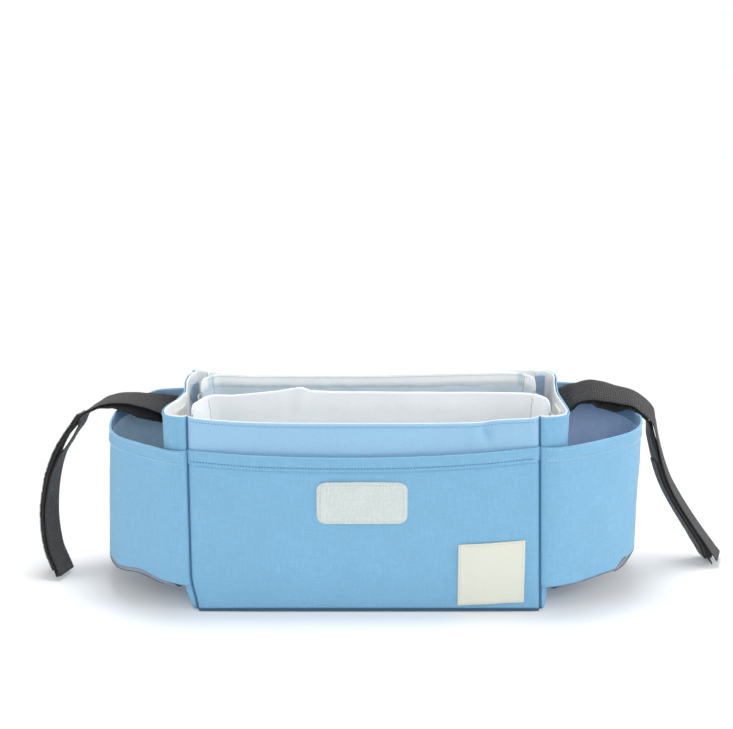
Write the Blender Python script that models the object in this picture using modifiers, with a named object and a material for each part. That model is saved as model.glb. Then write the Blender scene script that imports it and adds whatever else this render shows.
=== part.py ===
"""Stroller organizer: an open fabric caddy with loose dividers, cup pockets and strap pairs.

Metres, +Z up. The origin is the centre of the underside, and -Y is the front.
Every fabric panel is an open surface, modelled at its outer face, with a Solidify modifier.
"""
import math

import bpy
from mathutils import Matrix, Vector

# Body
LENGTH = 0.310
BACK_LENGTH = 0.300
DEPTH = 0.120
HEIGHT = 0.184
FRONT_SAG = 0.006
END_BULGE_TOP = 0.0225
END_BULGE_FOOT = 0.0045

# Fabrics, boards and tapes
SHELL = 0.0010
LINING = 0.0008
BOARD = 0.0030
PADDING = 0.0034
WEBBING = 0.0014
TAPE = 0.0012
LABEL_FABRIC = 0.0006
GAP = 0.0003

# Stiffening boards stop below the top edge, where lining and shell come together
BOARD_DROP = 0.016
BOARD_MARGIN = 0.004
LINING_TURN = 0.010

# Flat front pocket
POCKET_LEFT = 0.154
POCKET_RIGHT = 0.157
POCKET_SAG = 0.0075
POCKET_SWELL = 0.0028
POCKET_SWELL_SIDE = 0.055
POCKET_SWELL_FOOT = 0.070

# Hook patch and label on the front pocket
PATCH_WIDTH = 0.079
PATCH_HEIGHT = 0.0395
PATCH_CORNER = 0.008
PATCH_X = -0.0034
PATCH_Z = 0.106
LABEL_WIDTH = 0.0585
LABEL_HEIGHT = 0.060
LABEL_SEAM_GAP = 0.015
LABEL_LOW = 0.0060
LABEL_RISE = 0.0033

# Cup pockets
CUP_REACH_TOP = {"left": 0.0735, "right": 0.0910}
CUP_REACH_FOOT = {"left": 0.0785, "right": 0.0895}
CUP_BASE_SAG = 0.003
# Heights of the band's lower edge and rim, by share of the way from the front to the back seam
CUP_FOOT = {
    "left": [(0.0, 0.0250), (0.10, 0.0275), (0.22, 0.0325), (0.33, 0.0292), (0.42, 0.0308), (1.0, 0.0300)],
    "right": [(0.0, 0.0234), (0.10, 0.0242), (0.28, 0.0272), (0.41, 0.0362), (0.52, 0.0340), (1.0, 0.0310)],
}
CUP_RIM = {
    "left": [(0.0, 0.1530), (0.5, 0.1525), (0.62, 0.1515), (0.71, 0.1530), (0.86, 0.1620), (1.0, 0.1640)],
    "right": [(0.0, 0.1563), (0.4, 0.1565), (0.5, 0.1555), (0.6, 0.1510), (0.7, 0.1530), (0.85, 0.1680),
              (1.0, 0.1700)],
}

# Dividers: each folds forward at both ends. A fold's points are the distance in from the box's end
# and the distance forward of the divider's plane.
DIVIDER_FOOT_CLEAR = 0.006
DIVIDER_TAB_DROP = 0.0045
TAB_DROP_RUN = 0.020
FRONT_DIVIDER_TOP = 0.1845
FRONT_DIVIDER_Y = 0.0
FRONT_DIVIDER_FOLDS = {
    "left": [(0.0, 0.026), (0.003, 0.013), (0.009, 0.003), (0.019, 0.0)],
    "right": [(-0.008, 0.020), (-0.003, 0.010), (0.006, 0.0025), (0.017, 0.0)],
}
REAR_DIVIDER_TOP = 0.1835
REAR_DIVIDER_CLEAR = 0.0029
REAR_DIVIDER_FOLDS = {
    "left": [(-0.004, 0.019), (0.0, 0.009), (0.0065, 0.002), (0.016, 0.0002)],
    "right": [(-0.005, 0.018), (0.0, 0.009), (0.008, 0.002), (0.017, 0.0002)],
}
TAB_TAPE_LENGTH = 0.013
TAB_TAPE_FOOT = 0.050
TAB_TAPE_DROP = 0.012
LOOP_TAPE_WIDTH = 0.020
LOOP_TAPE_FOOT = 0.045
LOOP_TAPE_DROP = 0.008
LOOP_TAPE_CENTRE = 0.045

# Straps
STRAP_WIDTH = 0.025
STRIP_WIDTH = 0.018
STRIP_LENGTH = 0.110
STRIP_END = 0.006

# Stations of the outer webbing of each pair, from the root in the back corner seam to the tip:
# centre (out from the end of the box, behind the back face, height), width direction in the same
# axes, distance down to the inner webbing, and how far that is turned about the run, in degrees.
LEFT_STRAP = [
    ((0.0008, 0.0010, 0.1440), (0.00, 0.00, 1.00), 0.0017, 0),
    ((0.0110, 0.0010, 0.1440), (0.00, 0.00, 1.00), 0.0020, 0),
    ((0.0190, -0.0004, 0.1453), (0.00, 0.30, 0.95), 0.0034, 4),
    ((0.0265, -0.0055, 0.1500), (0.00, 0.75, 0.66), 0.0062, 12),
    ((0.0350, -0.0097, 0.1554), (0.00, 0.94, 0.33), 0.0074, 20),
    ((0.0480, -0.0120, 0.1592), (0.00, 0.99, 0.17), 0.0080, 20),
    ((0.0630, -0.0132, 0.1616), (0.00, 1.00, 0.05), 0.0058, 12),
    ((0.0785, -0.0145, 0.1604), (-0.09, 1.00, -0.04), 0.0042, 2),
    ((0.0900, -0.0154, 0.1555), (-0.15, 0.98, -0.11), 0.0040, 0),
    ((0.1012, -0.0159, 0.1479), (-0.24, 0.96, -0.16), 0.0047, 0),
    ((0.1082, -0.0163, 0.1385), (-0.20, 0.97, -0.14), 0.0058, 0),
    ((0.1174, -0.0203, 0.1270), (-0.17, 0.98, -0.08), 0.0058, 0),
    ((0.1261, -0.0222, 0.1102), (-0.21, 0.98, -0.05), 0.0044, 0),
    ((0.1324, -0.0266, 0.0881), (-0.30, 0.95, -0.04), 0.0037, 0),
    ((0.1356, -0.0331, 0.0576), (-0.37, 0.93, -0.07), 0.0036, 0),
    ((0.1322, -0.0405, 0.0274), (-0.40, 0.91, -0.10), 0.0036, 0),
    ((0.1252, -0.0452, 0.0098), (-0.41, 0.90, -0.10), 0.0036, 0),
    ((0.1226, -0.0466, 0.0032), (-0.42, 0.90, -0.10), 0.0036, 0),
]
RIGHT_STRAP = [
    ((0.0008, 0.0010, 0.1440), (0.00, 0.00, 1.00), 0.0017, 0),
    ((0.0110, 0.0010, 0.1452), (0.00, 0.00, 1.00), 0.0018, 0),
    ((0.0200, -0.0010, 0.1506), (0.00, 0.15, 0.99), 0.0020, 0),
    ((0.0285, -0.0065, 0.1590), (0.00, 0.62, 0.78), 0.0022, 0),
    ((0.0375, -0.0104, 0.1658), (0.00, 0.90, 0.43), 0.0024, 0),
    ((0.0484, -0.0118, 0.1690), (0.00, 0.89, 0.45), 0.0036, 6),
    ((0.0590, -0.0119, 0.1678), (0.00, 0.90, 0.43), 0.0060, 17),
    ((0.0735, -0.0120, 0.1645), (0.00, 0.94, 0.33), 0.0064, 20),
    ((0.0880, -0.0126, 0.1609), (0.04, 0.95, 0.28), 0.0030, 3),
    ((0.0979, -0.0135, 0.1540), (0.12, 0.95, 0.28), 0.0031, 0),
    ((0.1049, -0.0135, 0.1467), (0.17, 0.96, 0.20), 0.0040, -4),
    ((0.1083, -0.0139, 0.1380), (0.12, 0.99, 0.09), 0.0062, -11),
    ((0.1121, -0.0134, 0.1214), (0.11, 0.99, 0.00), 0.0065, -18),
    ((0.1172, -0.0141, 0.1017), (0.14, 0.99, -0.04), 0.0067, -19),
    ((0.1239, -0.0149, 0.0827), (0.16, 0.98, -0.07), 0.0069, -20),
    ((0.1319, -0.0154, 0.0670), (0.19, 0.98, -0.08), 0.0071, -22),
    ((0.1409, -0.0161, 0.0522), (0.20, 0.98, -0.09), 0.0073, -23),
    ((0.1508, -0.0168, 0.0371), (0.21, 0.97, -0.10), 0.0077, -24),
    ((0.1600, -0.0172, 0.0239), (0.22, 0.97, -0.11), 0.0088, -25),
    ((0.1665, -0.0176, 0.0150), (0.24, 0.96, -0.10), 0.0108, -25),
    ((0.1698, -0.0182, 0.0106), (0.24, 0.97, -0.05), 0.0116, -24),
]

# Plan lines of the right side, as shares of the bulge or reach and of the depth
END_PLAN = [(0.38, 0.012), (0.68, 0.032), (0.90, 0.065), (0.99, 0.115), (0.96, 0.21), (0.80, 0.375),
            (0.69, 0.54), (0.69, 0.70), (0.74, 0.83), (0.70, 0.92), (0.50, 0.98)]
CUP_PLAN = [(0.15, 0.006), (0.27, 0.035), (0.42, 0.090), (0.60, 0.163), (0.78, 0.253), (0.90, 0.34),
            (0.97, 0.44), (1.0, 0.58), (0.995, 0.73), (0.955, 0.85), (0.86, 0.95), (0.70, 1.025),
            (0.48, 1.055), (0.25, 1.058), (0.08, 1.045), (0.0, 1.030)]

# Panels leave a corner seam square to it for this far
SEAM_RUN = 0.0015

# Mesh density
LINE_STEPS = 12
END_COLUMNS = 30
END_LEVELS = 7
CUP_COLUMNS = 36
CUP_LEVELS = 6
CUP_BASE_LEVELS = 5
DIVIDER_COLUMNS = 30
DIVIDER_LEVELS = 4
STRAP_COLUMNS = 52
LABEL_STEPS = 7

FLOOR_BOARD_LOW = SHELL + GAP
WALL_FOOT = SHELL + GAP
FLOOR_TOP = FLOOR_BOARD_LOW + BOARD + GAP
INNER_FLOOR = FLOOR_TOP + LINING + GAP
BOARD_TOP = HEIGHT - BOARD_DROP
LINING_INSET = SHELL + GAP
BOARDED_INSET = LINING_INSET + BOARD + GAP

MATERIALS = {
    "blue_fabric": ((0.223, 0.479, 0.694), 0.75),
    "white_lining": ((0.745, 0.791, 0.799), 0.55),
    "grey_coated_fabric": ((0.205, 0.259, 0.356), 0.6),
    "white_foam_board": ((0.80, 0.80, 0.78), 0.9),
    "cream_hook_tape": ((0.645, 0.723, 0.700), 0.85),
    "cream_label": ((0.838, 0.838, 0.730), 0.9),
    "black_webbing": ((0.012, 0.011, 0.012), 0.8),
    "black_pile": ((0.008, 0.008, 0.009), 0.95),
}


def clear_scene():
    """Remove every object and earlier data of the same names."""
    for item in list(bpy.data.objects):
        bpy.data.objects.remove(item, do_unlink=True)


def make_material(name):
    """A Principled material of the table above."""
    colour, roughness = MATERIALS[name]
    material = bpy.data.materials.new(name)
    material.use_nodes = True
    shader = material.node_tree.nodes["Principled BSDF"]
    shader.inputs["Base Color"].default_value = (*colour, 1.0)
    shader.inputs["Roughness"].default_value = roughness
    shader.inputs["Metallic"].default_value = 0.0
    material.diffuse_color = (*colour, 1.0)
    return material


def smoothstep(value):
    """0 below 0, 1 above 1 and an even rise between."""
    share = min(max(value, 0.0), 1.0)
    return share * share * (3.0 - 2.0 * share)


def blend(start, end, share):
    return start + (end - start) * share


def between(pairs, position):
    """Value at a position of a list of (position, value) pairs, with even rises between them."""
    for (low, low_value), (high, high_value) in zip(pairs, pairs[1:]):
        if position <= high:
            return blend(low_value, high_value, smoothstep((position - low) / (high - low)))
    return pairs[-1][1]


def smooth_line(points, count):
    """Evenly spaced points on a smooth line through the given ones, each with its share of the length."""
    given = [Vector(point) for point in points]
    spans = [(after - before).length for before, after in zip(given, given[1:])]
    slopes = [(given[1] - given[0]) / spans[0]]
    for index in range(1, len(given) - 1):
        slopes.append((given[index + 1] - given[index - 1]) / (spans[index - 1] + spans[index]))
    slopes.append((given[-1] - given[-2]) / spans[-1])
    dense = []
    for index, span in enumerate(spans):
        for step in range(LINE_STEPS):
            t = step / LINE_STEPS
            start = given[index] * (2 * t ** 3 - 3 * t ** 2 + 1) + given[index + 1] * (3 * t ** 2 - 2 * t ** 3)
            lean = slopes[index] * (t ** 3 - 2 * t ** 2 + t) + slopes[index + 1] * (t ** 3 - t ** 2)
            dense.append(start + lean * span)
    dense.append(given[-1])
    lengths = [0.0]
    for before, after in zip(dense, dense[1:]):
        lengths.append(lengths[-1] + (after - before).length)
    line = []
    segment = 0
    for index in range(count):
        goal = lengths[-1] * index / (count - 1)
        while segment < len(dense) - 2 and lengths[segment + 1] < goal:
            segment += 1
        share = (goal - lengths[segment]) / (lengths[segment + 1] - lengths[segment])
        line.append(dense[segment].lerp(dense[segment + 1], min(share, 1.0)))
    return line


def seamed_line(points, count):
    """A smooth line that keeps its first and last runs straight, where it is sewn in."""
    return [Vector(points[0])] + smooth_line(points[1:-1], count - 2) + [Vector(points[-1])]


def inset_line(line, distance):
    """A plan line moved to the left of its run, which is inwards on a loop run counter-clockwise."""
    sides = []
    for before, after in zip(line, line[1:]):
        run = (after - before).normalized()
        sides.append(Vector((-run.y, run.x)))
    moved = []
    for index, point in enumerate(line):
        before = sides[max(index - 1, 0)]
        after = sides[min(index, len(sides) - 1)]
        corner = (before + after).normalized()
        moved.append(point + corner * distance / max(corner.dot(after), 0.5))
    return moved


def mirrored(rows):
    """The same rows on the other side, run the other way so that their faces still point out."""
    return [[Vector((-point.x, point.y, point.z)) for point in reversed(row)] for row in rows]


def on_side(rows, side):
    return rows if side == "right" else mirrored(rows)


def add_object(name, mesh, collection, material):
    item = bpy.data.objects.new(name, mesh)
    collection.objects.link(item)
    mesh.materials.append(material)
    return item


def add_sheet(name, rows, thickness, collection, material):
    """A grid of points, run counter-clockwise and upwards, made solid towards its back."""
    columns = len(rows[0])
    vertices = [tuple(point) for row in rows for point in row]
    faces = []
    for low in range(len(rows) - 1):
        for index in range(columns - 1):
            corner = low * columns + index
            faces.append((corner, corner + 1, corner + columns + 1, corner + columns))
    mesh = bpy.data.meshes.new(name)
    mesh.from_pydata(vertices, [], faces)
    mesh.shade_smooth()
    item = add_object(name, mesh, collection, material)
    solid = item.modifiers.new("Thickness", "SOLIDIFY")
    solid.thickness = thickness
    solid.offset = -1.0
    solid.use_even_offset = True
    solid.use_quality_normals = True
    return item


def add_plate(name, outline, thickness, collection, material):
    """A flat outline made solid about its own plane."""
    curve = bpy.data.curves.new(name, "CURVE")
    curve.dimensions = "2D"
    curve.fill_mode = "BOTH"
    curve.extrude = thickness / 2
    spline = curve.splines.new("POLY")
    spline.points.add(len(outline) - 1)
    for point, (x, y) in zip(spline.points, outline):
        point.co = (x, y, 0.0, 1.0)
    spline.use_cyclic_u = True
    return add_object(name, curve, collection, material)


def add_board(name, low, high, collection, material):
    """A box between two corners."""
    centre = (Vector(low) + Vector(high)) / 2
    bpy.ops.mesh.primitive_cube_add(size=1.0, location=centre)
    item = bpy.context.object
    item.name = name
    item.data.name = name
    item.data.transform(Matrix.Diagonal((*(Vector(high) - Vector(low)), 1.0)))
    item.data.materials.append(material)
    for owner in list(item.users_collection):
        owner.objects.unlink(item)
    collection.objects.link(item)
    return item


def wall_heights(foot, top, count):
    return [blend(foot, top, index / (count - 1)) for index in range(count)]


def front_top(x):
    """Height of the front panel's top edge, which sags between the corner seams."""
    return HEIGHT - FRONT_SAG * (1.0 - (2.0 * x / LENGTH) ** 4)


def end_line(z, inset=0.0):
    """Plan line of the right end wall at one height, from the front seam to the back seam."""
    share = min(max(z / HEIGHT, 0.0), 1.0)
    bulge = blend(END_BULGE_FOOT, END_BULGE_TOP, share * (2.0 - share))
    seam_step = (LENGTH - BACK_LENGTH) / 2
    front = LENGTH / 2 + GAP
    back_end = BACK_LENGTH / 2 + GAP
    points = [(front, -DEPTH / 2), (front + SEAM_RUN, -DEPTH / 2)]
    for out, back in END_PLAN:
        points.append((front + out * bulge - seam_step * back, (back - 0.5) * DEPTH))
    points += [(back_end + SEAM_RUN, DEPTH / 2), (back_end, DEPTH / 2)]
    return inset_line(seamed_line(points, END_COLUMNS), inset)


def end_rows(foot, inset):
    """Rows of an end wall layer: all layers share their heights above the floor."""
    heights = sorted({foot, FLOOR_TOP, *wall_heights(FLOOR_TOP, HEIGHT, END_LEVELS)})
    rows = []
    for z in heights:
        rows.append([Vector((point.x, point.y, z)) for point in end_line(z, inset)])
    return rows


def floor_outline(z, end_inset, face_inset):
    """Outline of a floor layer, clear of the end walls and of the front and back by its insets."""
    limit = DEPTH / 2 - face_inset
    right = []
    for point in end_line(z, end_inset):
        spot = (point.x, min(max(point.y, -limit), limit))
        if not right or abs(spot[0] - right[-1][0]) + abs(spot[1] - right[-1][1]) > GAP:
            right.append(spot)
    return right + [(-x, y) for x, y in reversed(right)]


def flat_wall_rows(half_length, y_at, heights_at, facing, columns=9):
    """Rows of a front-facing (facing -1) or back-facing (facing 1) wall."""
    xs = [blend(-half_length, half_length, index / (columns - 1)) for index in range(columns)]
    if facing > 0:
        xs.reverse()
    levels = len(heights_at(0.0))
    rows = []
    for level in range(levels):
        row = []
        for x in xs:
            z = heights_at(x)[level]
            row.append(Vector((x, y_at(x, z), z)))
        rows.append(row)
    return rows


def lining_inset_at(z):
    """How far the front and back linings stand in: past the board, then out to the shell at the top."""
    turn = smoothstep((z - BOARD_TOP - GAP) / LINING_TURN)
    return blend(BOARDED_INSET, LINING_INSET, turn)


def lining_heights(top):
    turn_foot = BOARD_TOP + GAP
    steps = [turn_foot + LINING_TURN * share for share in (0.0, 0.25, 0.5, 0.75)]
    return [FLOOR_TOP] + wall_heights(FLOOR_TOP, turn_foot, 5)[1:-1] + steps + [top]


def make_body(collection, materials):
    """Shell, boards and lining of the box."""
    blue = materials["blue_fabric"]
    white = materials["white_lining"]
    foam = materials["white_foam_board"]
    front_rows = flat_wall_rows(LENGTH / 2, lambda x, z: -DEPTH / 2,
                                lambda x: wall_heights(WALL_FOOT, front_top(x), 5), -1)
    add_sheet("front_panel", front_rows, SHELL, collection, blue)
    back_rows = flat_wall_rows(BACK_LENGTH / 2, lambda x, z: DEPTH / 2,
                               lambda x: wall_heights(WALL_FOOT, HEIGHT, 5), 1)
    add_sheet("back_panel", back_rows, SHELL, collection, blue)
    for side in ("left", "right"):
        shell_rows = end_rows(WALL_FOOT, 0.0)
        add_sheet(side + "_end_panel", on_side(shell_rows, side), SHELL, collection, blue)
        lining_rows = end_rows(FLOOR_TOP, LINING_INSET)
        add_sheet(side + "_end_lining", on_side(lining_rows, side), LINING, collection, white)
    front_lining_rows = flat_wall_rows(LENGTH / 2, lambda x, z: -DEPTH / 2 + lining_inset_at(z),
                                       lambda x: lining_heights(front_top(x)), -1)
    add_sheet("front_lining", front_lining_rows, LINING, collection, white)
    back_lining_rows = flat_wall_rows(BACK_LENGTH / 2, lambda x, z: DEPTH / 2 - lining_inset_at(z),
                                      lambda x: lining_heights(HEIGHT), 1)
    add_sheet("back_lining", back_lining_rows, LINING, collection, white)

    floor = add_plate("bottom_panel", floor_outline(0.0, 0.0, 0.0), SHELL, collection, blue)
    floor.location.z = SHELL / 2
    board_outline = floor_outline(FLOOR_BOARD_LOW, LINING_INSET, LINING_INSET)
    floor_board = add_plate("bottom_board", board_outline, BOARD, collection, foam)
    floor_board.location.z = FLOOR_BOARD_LOW + BOARD / 2
    lining_outline = floor_outline(FLOOR_TOP, LINING_INSET + LINING + GAP, BOARDED_INSET + LINING + GAP)
    floor_lining = add_plate("bottom_lining", lining_outline, LINING, collection, white)
    floor_lining.location.z = FLOOR_TOP + LINING / 2

    front_face = -DEPTH / 2 + LINING_INSET
    add_board("front_board", (-LENGTH / 2 + BOARD_MARGIN, front_face, FLOOR_TOP),
              (LENGTH / 2 - BOARD_MARGIN, front_face + BOARD, BOARD_TOP), collection, foam)
    back_face = DEPTH / 2 - LINING_INSET
    add_board("back_board", (-BACK_LENGTH / 2 + BOARD_MARGIN, back_face - BOARD, FLOOR_TOP),
              (BACK_LENGTH / 2 - BOARD_MARGIN, back_face, BOARD_TOP), collection, foam)


def pocket_top(x):
    """Height of the front pocket's hem."""
    side = blend(POCKET_LEFT, POCKET_RIGHT, x / LENGTH + 0.5)
    return side - POCKET_SAG * (1.0 - (2.0 * x / LENGTH) ** 2)


def pocket_face(x, z):
    """Outer face of the front pocket: it stands a little off the panel away from its seams."""
    side = smoothstep((LENGTH / 2 - abs(x)) / POCKET_SWELL_SIDE)
    foot = smoothstep(z / POCKET_SWELL_FOOT)
    return -DEPTH / 2 - GAP - SHELL - POCKET_SWELL * side * foot


def make_front_pocket(collection, materials):
    """Flat pocket across the front, with the hook patch and the label sewn on it."""
    rows = flat_wall_rows(LENGTH / 2, pocket_face, lambda x: wall_heights(GAP, pocket_top(x), 9), -1, 21)
    add_sheet("front_pocket", rows, SHELL, collection, materials["blue_fabric"])

    outline = []
    for quarter in range(4):
        corner_x = (PATCH_WIDTH / 2 - PATCH_CORNER) * (1 if quarter in (0, 3) else -1)
        corner_z = (PATCH_HEIGHT / 2 - PATCH_CORNER) * (1 if quarter in (0, 1) else -1)
        for step in range(7):
            angle = math.radians(90.0 * quarter + 15.0 * step)
            outline.append((corner_x + PATCH_CORNER * math.cos(angle), corner_z + PATCH_CORNER * math.sin(angle)))
    patch = add_plate("hook_patch", outline, TAPE, collection, materials["cream_hook_tape"])
    patch.rotation_euler = (math.radians(90.0), 0.0, 0.0)
    patch.location = (PATCH_X, pocket_face(PATCH_X, PATCH_Z) - GAP - TAPE / 2, PATCH_Z)

    label_rows = []
    for up in wall_heights(0.0, 1.0, LABEL_STEPS):
        row = []
        for along in wall_heights(0.0, 1.0, LABEL_STEPS):
            x = LENGTH / 2 - LABEL_SEAM_GAP - LABEL_WIDTH * (1.0 - along)
            z = LABEL_LOW + LABEL_RISE * along + LABEL_HEIGHT * up
            row.append(Vector((x, pocket_face(x, z) - GAP - LABEL_FABRIC, z)))
        label_rows.append(row)
    add_sheet("label", label_rows, LABEL_FABRIC, collection, materials["cream_label"])


def cup_line(side, share):
    """Plan line of a cup pocket's outer face, for the right side, at a share of its height."""
    reach = blend(CUP_REACH_FOOT[side], CUP_REACH_TOP[side], share)
    outer = DEPTH / 2 + GAP + SHELL
    front = LENGTH / 2 + GAP
    points = [(front, -outer), (front + SEAM_RUN, -outer)]
    points += [(front + out * reach, (2.0 * back - 1.0) * outer) for out, back in CUP_PLAN]
    points.append((BACK_LENGTH / 2 + GAP, outer))
    return seamed_line(points, CUP_COLUMNS)


def make_cup_pocket(side, collection, materials):
    """A band from the front seam round to the back seam, and its base."""
    rows = []
    for share in wall_heights(0.0, 1.0, CUP_LEVELS):
        row = []
        for index, point in enumerate(cup_line(side, share)):
            foot = between(CUP_FOOT[side], index / (CUP_COLUMNS - 1))
            rim = between(CUP_RIM[side], index / (CUP_COLUMNS - 1))
            row.append(Vector((point.x, point.y, blend(foot, rim, share))))
        rows.append(row)
    add_sheet(side + "_cup_band", on_side(rows, side), SHELL, collection, materials["blue_fabric"])

    first = round(0.06 * CUP_COLUMNS)
    last = round(0.92 * CUP_COLUMNS)
    outer = cup_line(side, 0.0)[first:last]
    seam = CUP_FOOT[side][0][1]
    wall = inset_line(smooth_line(end_line(seam)[3:-4], len(outer)), -GAP)
    base_rows = []
    for share in wall_heights(0.0, 1.0, CUP_BASE_LEVELS):
        row = []
        for index, (inner_point, outer_point) in enumerate(zip(wall, outer)):
            spot = inner_point.lerp(outer_point, share)
            foot = between(CUP_FOOT[side], (index + first) / (CUP_COLUMNS - 1))
            sag = CUP_BASE_SAG * math.sin(math.pi * share)
            row.append(Vector((spot.x, spot.y, blend(seam, foot, share) - GAP - SHELL - sag)))
        base_rows.append(row)
    add_sheet(side + "_cup_base", on_side(base_rows, side), SHELL, collection, materials["grey_coated_fabric"])


def divider_line(half_length, plane, folds):
    """Plan line of a divider, from its left tab to its right one."""
    left = [(-half_length + inset, plane - forward) for inset, forward in folds["left"]]
    right = [(half_length - inset, plane - forward) for inset, forward in reversed(folds["right"])]
    return left + [(0.0, plane)] + right


def divider_rows(line, top, foot, first, last, inset, drop):
    """Rows of a divider or of a tape on it, between two shares of its length."""
    foot_half = LENGTH / 2 - DIVIDER_FOOT_CLEAR
    foot_scale = foot_half / max(abs(line[0][0]), abs(line[-1][0]))
    rows = []
    for level in wall_heights(0.0, 1.0, DIVIDER_LEVELS):
        z = blend(foot, top, level)
        scale = blend(foot_scale, 1.0, z / top)
        plan = smooth_line([(x * scale, y) for x, y in line], DIVIDER_COLUMNS)
        plan = inset_line(plan, inset)
        row = []
        for index, point in enumerate(plan):
            place = index / (DIVIDER_COLUMNS - 1)
            if first <= place <= last:
                slope = drop * smoothstep((abs(point.x) - abs(line[3][0])) / TAB_DROP_RUN) * level
                row.append(Vector((point.x, point.y, z - slope)))
        rows.append(row)
    return rows


def make_divider(name, line, top, collection, materials):
    """A padded divider with both ends folded forward, and the hook tapes on its tabs."""
    rows = divider_rows(line, top, INNER_FLOOR, 0.0, 1.0, -PADDING / 2, DIVIDER_TAB_DROP)
    add_sheet(name, rows, PADDING, collection, materials["white_lining"])
    length = smooth_line(line, DIVIDER_COLUMNS)
    span = sum((after - before).length for before, after in zip(length, length[1:]))
    tape_share = TAB_TAPE_LENGTH / span
    for side in ("left", "right"):
        first = 0.0 if side == "left" else 1.0 - tape_share - 0.01
        last = tape_share + 0.01 if side == "left" else 1.0
        outset = PADDING / 2 + GAP
        tape = divider_rows(line, top - TAB_TAPE_DROP, TAB_TAPE_FOOT, first, last, outset, 0.0)
        add_sheet(side + "_" + name + "_hook", tape, TAPE, collection, materials["cream_hook_tape"])


def make_loop_tape(side, collection, materials):
    """Soft tape on the end lining, where a divider tab would stick."""
    inset = LINING_INSET + LINING + GAP + TAPE
    rows = []
    for z in wall_heights(LOOP_TAPE_FOOT, HEIGHT - LOOP_TAPE_DROP, 5):
        low = -DEPTH / 2 + LOOP_TAPE_CENTRE - LOOP_TAPE_WIDTH / 2
        line = end_line(z, inset - TAPE)
        part = [point for point in line if low <= point.y <= low + LOOP_TAPE_WIDTH]
        rows.append([Vector((point.x, point.y, z)) for point in part])
    count = min(len(row) for row in rows)
    rows = [row[:count] for row in rows]
    add_sheet(side + "_loop_tape", on_side(rows, side), TAPE, collection, materials["cream_hook_tape"])


def strap_frames(stations):
    """Centre, width direction and upward or outward normal along both webbings of a right pair."""
    centres = smooth_line([centre for centre, _, _, _ in stations], STRAP_COLUMNS)
    knots = [0.0]
    for (before, _, _, _), (after, _, _, _) in zip(stations, stations[1:]):
        knots.append(knots[-1] + (Vector(after) - Vector(before)).length)
    outer = []
    inner = []
    for index, centre in enumerate(centres):
        before = centres[max(index - 1, 0)]
        after = centres[min(index + 1, len(centres) - 1)]
        run = (after - before).normalized()
        place = knots[-1] * index / (STRAP_COLUMNS - 1)
        lean = Vector([between([(knot, station[1][axis]) for knot, station in zip(knots, stations)], place)
                       for axis in range(3)])
        width = (lean - run * lean.dot(run)).normalized()
        normal = run.cross(width)
        drop = between([(knot, station[2]) for knot, station in zip(knots, stations)], place)
        turn = between([(knot, station[3]) for knot, station in zip(knots, stations)], place)
        spot = Vector((LENGTH / 2 + centre.x, DEPTH / 2 + centre.y, centre.z))
        outer.append((spot, width, normal))
        rotation = Matrix.Rotation(math.radians(turn), 3, run)
        inner.append((spot - normal * drop, rotation @ width, rotation @ normal))
    return outer, inner


def strap_rows(frames, width, height):
    """Rows across a webbing at a height over its middle plane, ready for Solidify towards its back."""
    rows = []
    for side in (-1.0, 1.0):
        rows.append([spot + across * (side * width / 2) + normal * height for spot, across, normal in frames])
    return rows


def strip_frames(frames):
    """The stretch of a webbing that carries hook or loop tape, near its tip."""
    picked = []
    travelled = 0.0
    for index in range(len(frames) - 1, 0, -1):
        if travelled >= STRIP_END:
            picked.append(frames[index])
        travelled += (frames[index][0] - frames[index - 1][0]).length
        if travelled > STRIP_END + STRIP_LENGTH:
            break
    picked.reverse()
    return picked


def make_strap(side, stations, loop_height, collection, materials):
    """Two webbings sewn together at the root, with loop tape on the outer and hook tape on the inner one."""
    outer, inner = strap_frames(stations)
    seat = (WEBBING / 2 + GAP + TAPE / 2) * loop_height
    layers = [
        ("_strap_outer", outer, STRAP_WIDTH, 0.0, WEBBING, "black_webbing"),
        ("_strap_inner", inner, STRAP_WIDTH, 0.0, WEBBING, "black_webbing"),
        ("_loop_strip", strip_frames(outer), STRIP_WIDTH, seat, TAPE, "black_pile"),
        ("_hook_strip", strip_frames(inner), STRIP_WIDTH, seat, TAPE, "black_pile"),
    ]
    for suffix, frames, width, middle, thickness, material in layers:
        rows = strap_rows(frames, width, middle + thickness / 2)
        add_sheet(side + suffix, on_side(rows, side), thickness, collection, materials[material])


def main():
    clear_scene()
    collection = bpy.data.collections.new("stroller_organizer")
    bpy.context.scene.collection.children.link(collection)
    materials = {name: make_material(name) for name in MATERIALS}
    make_body(collection, materials)
    make_front_pocket(collection, materials)
    for side in ("left", "right"):
        make_cup_pocket(side, collection, materials)
        make_loop_tape(side, collection, materials)
    front_line = divider_line(LENGTH / 2, FRONT_DIVIDER_Y, FRONT_DIVIDER_FOLDS)
    make_divider("front_divider", front_line, FRONT_DIVIDER_TOP, collection, materials)
    rear_plane = DEPTH / 2 - BOARDED_INSET - LINING - REAR_DIVIDER_CLEAR - PADDING / 2
    rear_line = divider_line(BACK_LENGTH / 2, rear_plane, REAR_DIVIDER_FOLDS)
    make_divider("rear_divider", rear_line, REAR_DIVIDER_TOP, collection, materials)
    make_strap("left", LEFT_STRAP, 1.0, collection, materials)
    make_strap("right", RIGHT_STRAP, -1.0, collection, materials)


main()
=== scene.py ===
import math

import bpy
import numpy as np
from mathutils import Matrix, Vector, noise


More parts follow.
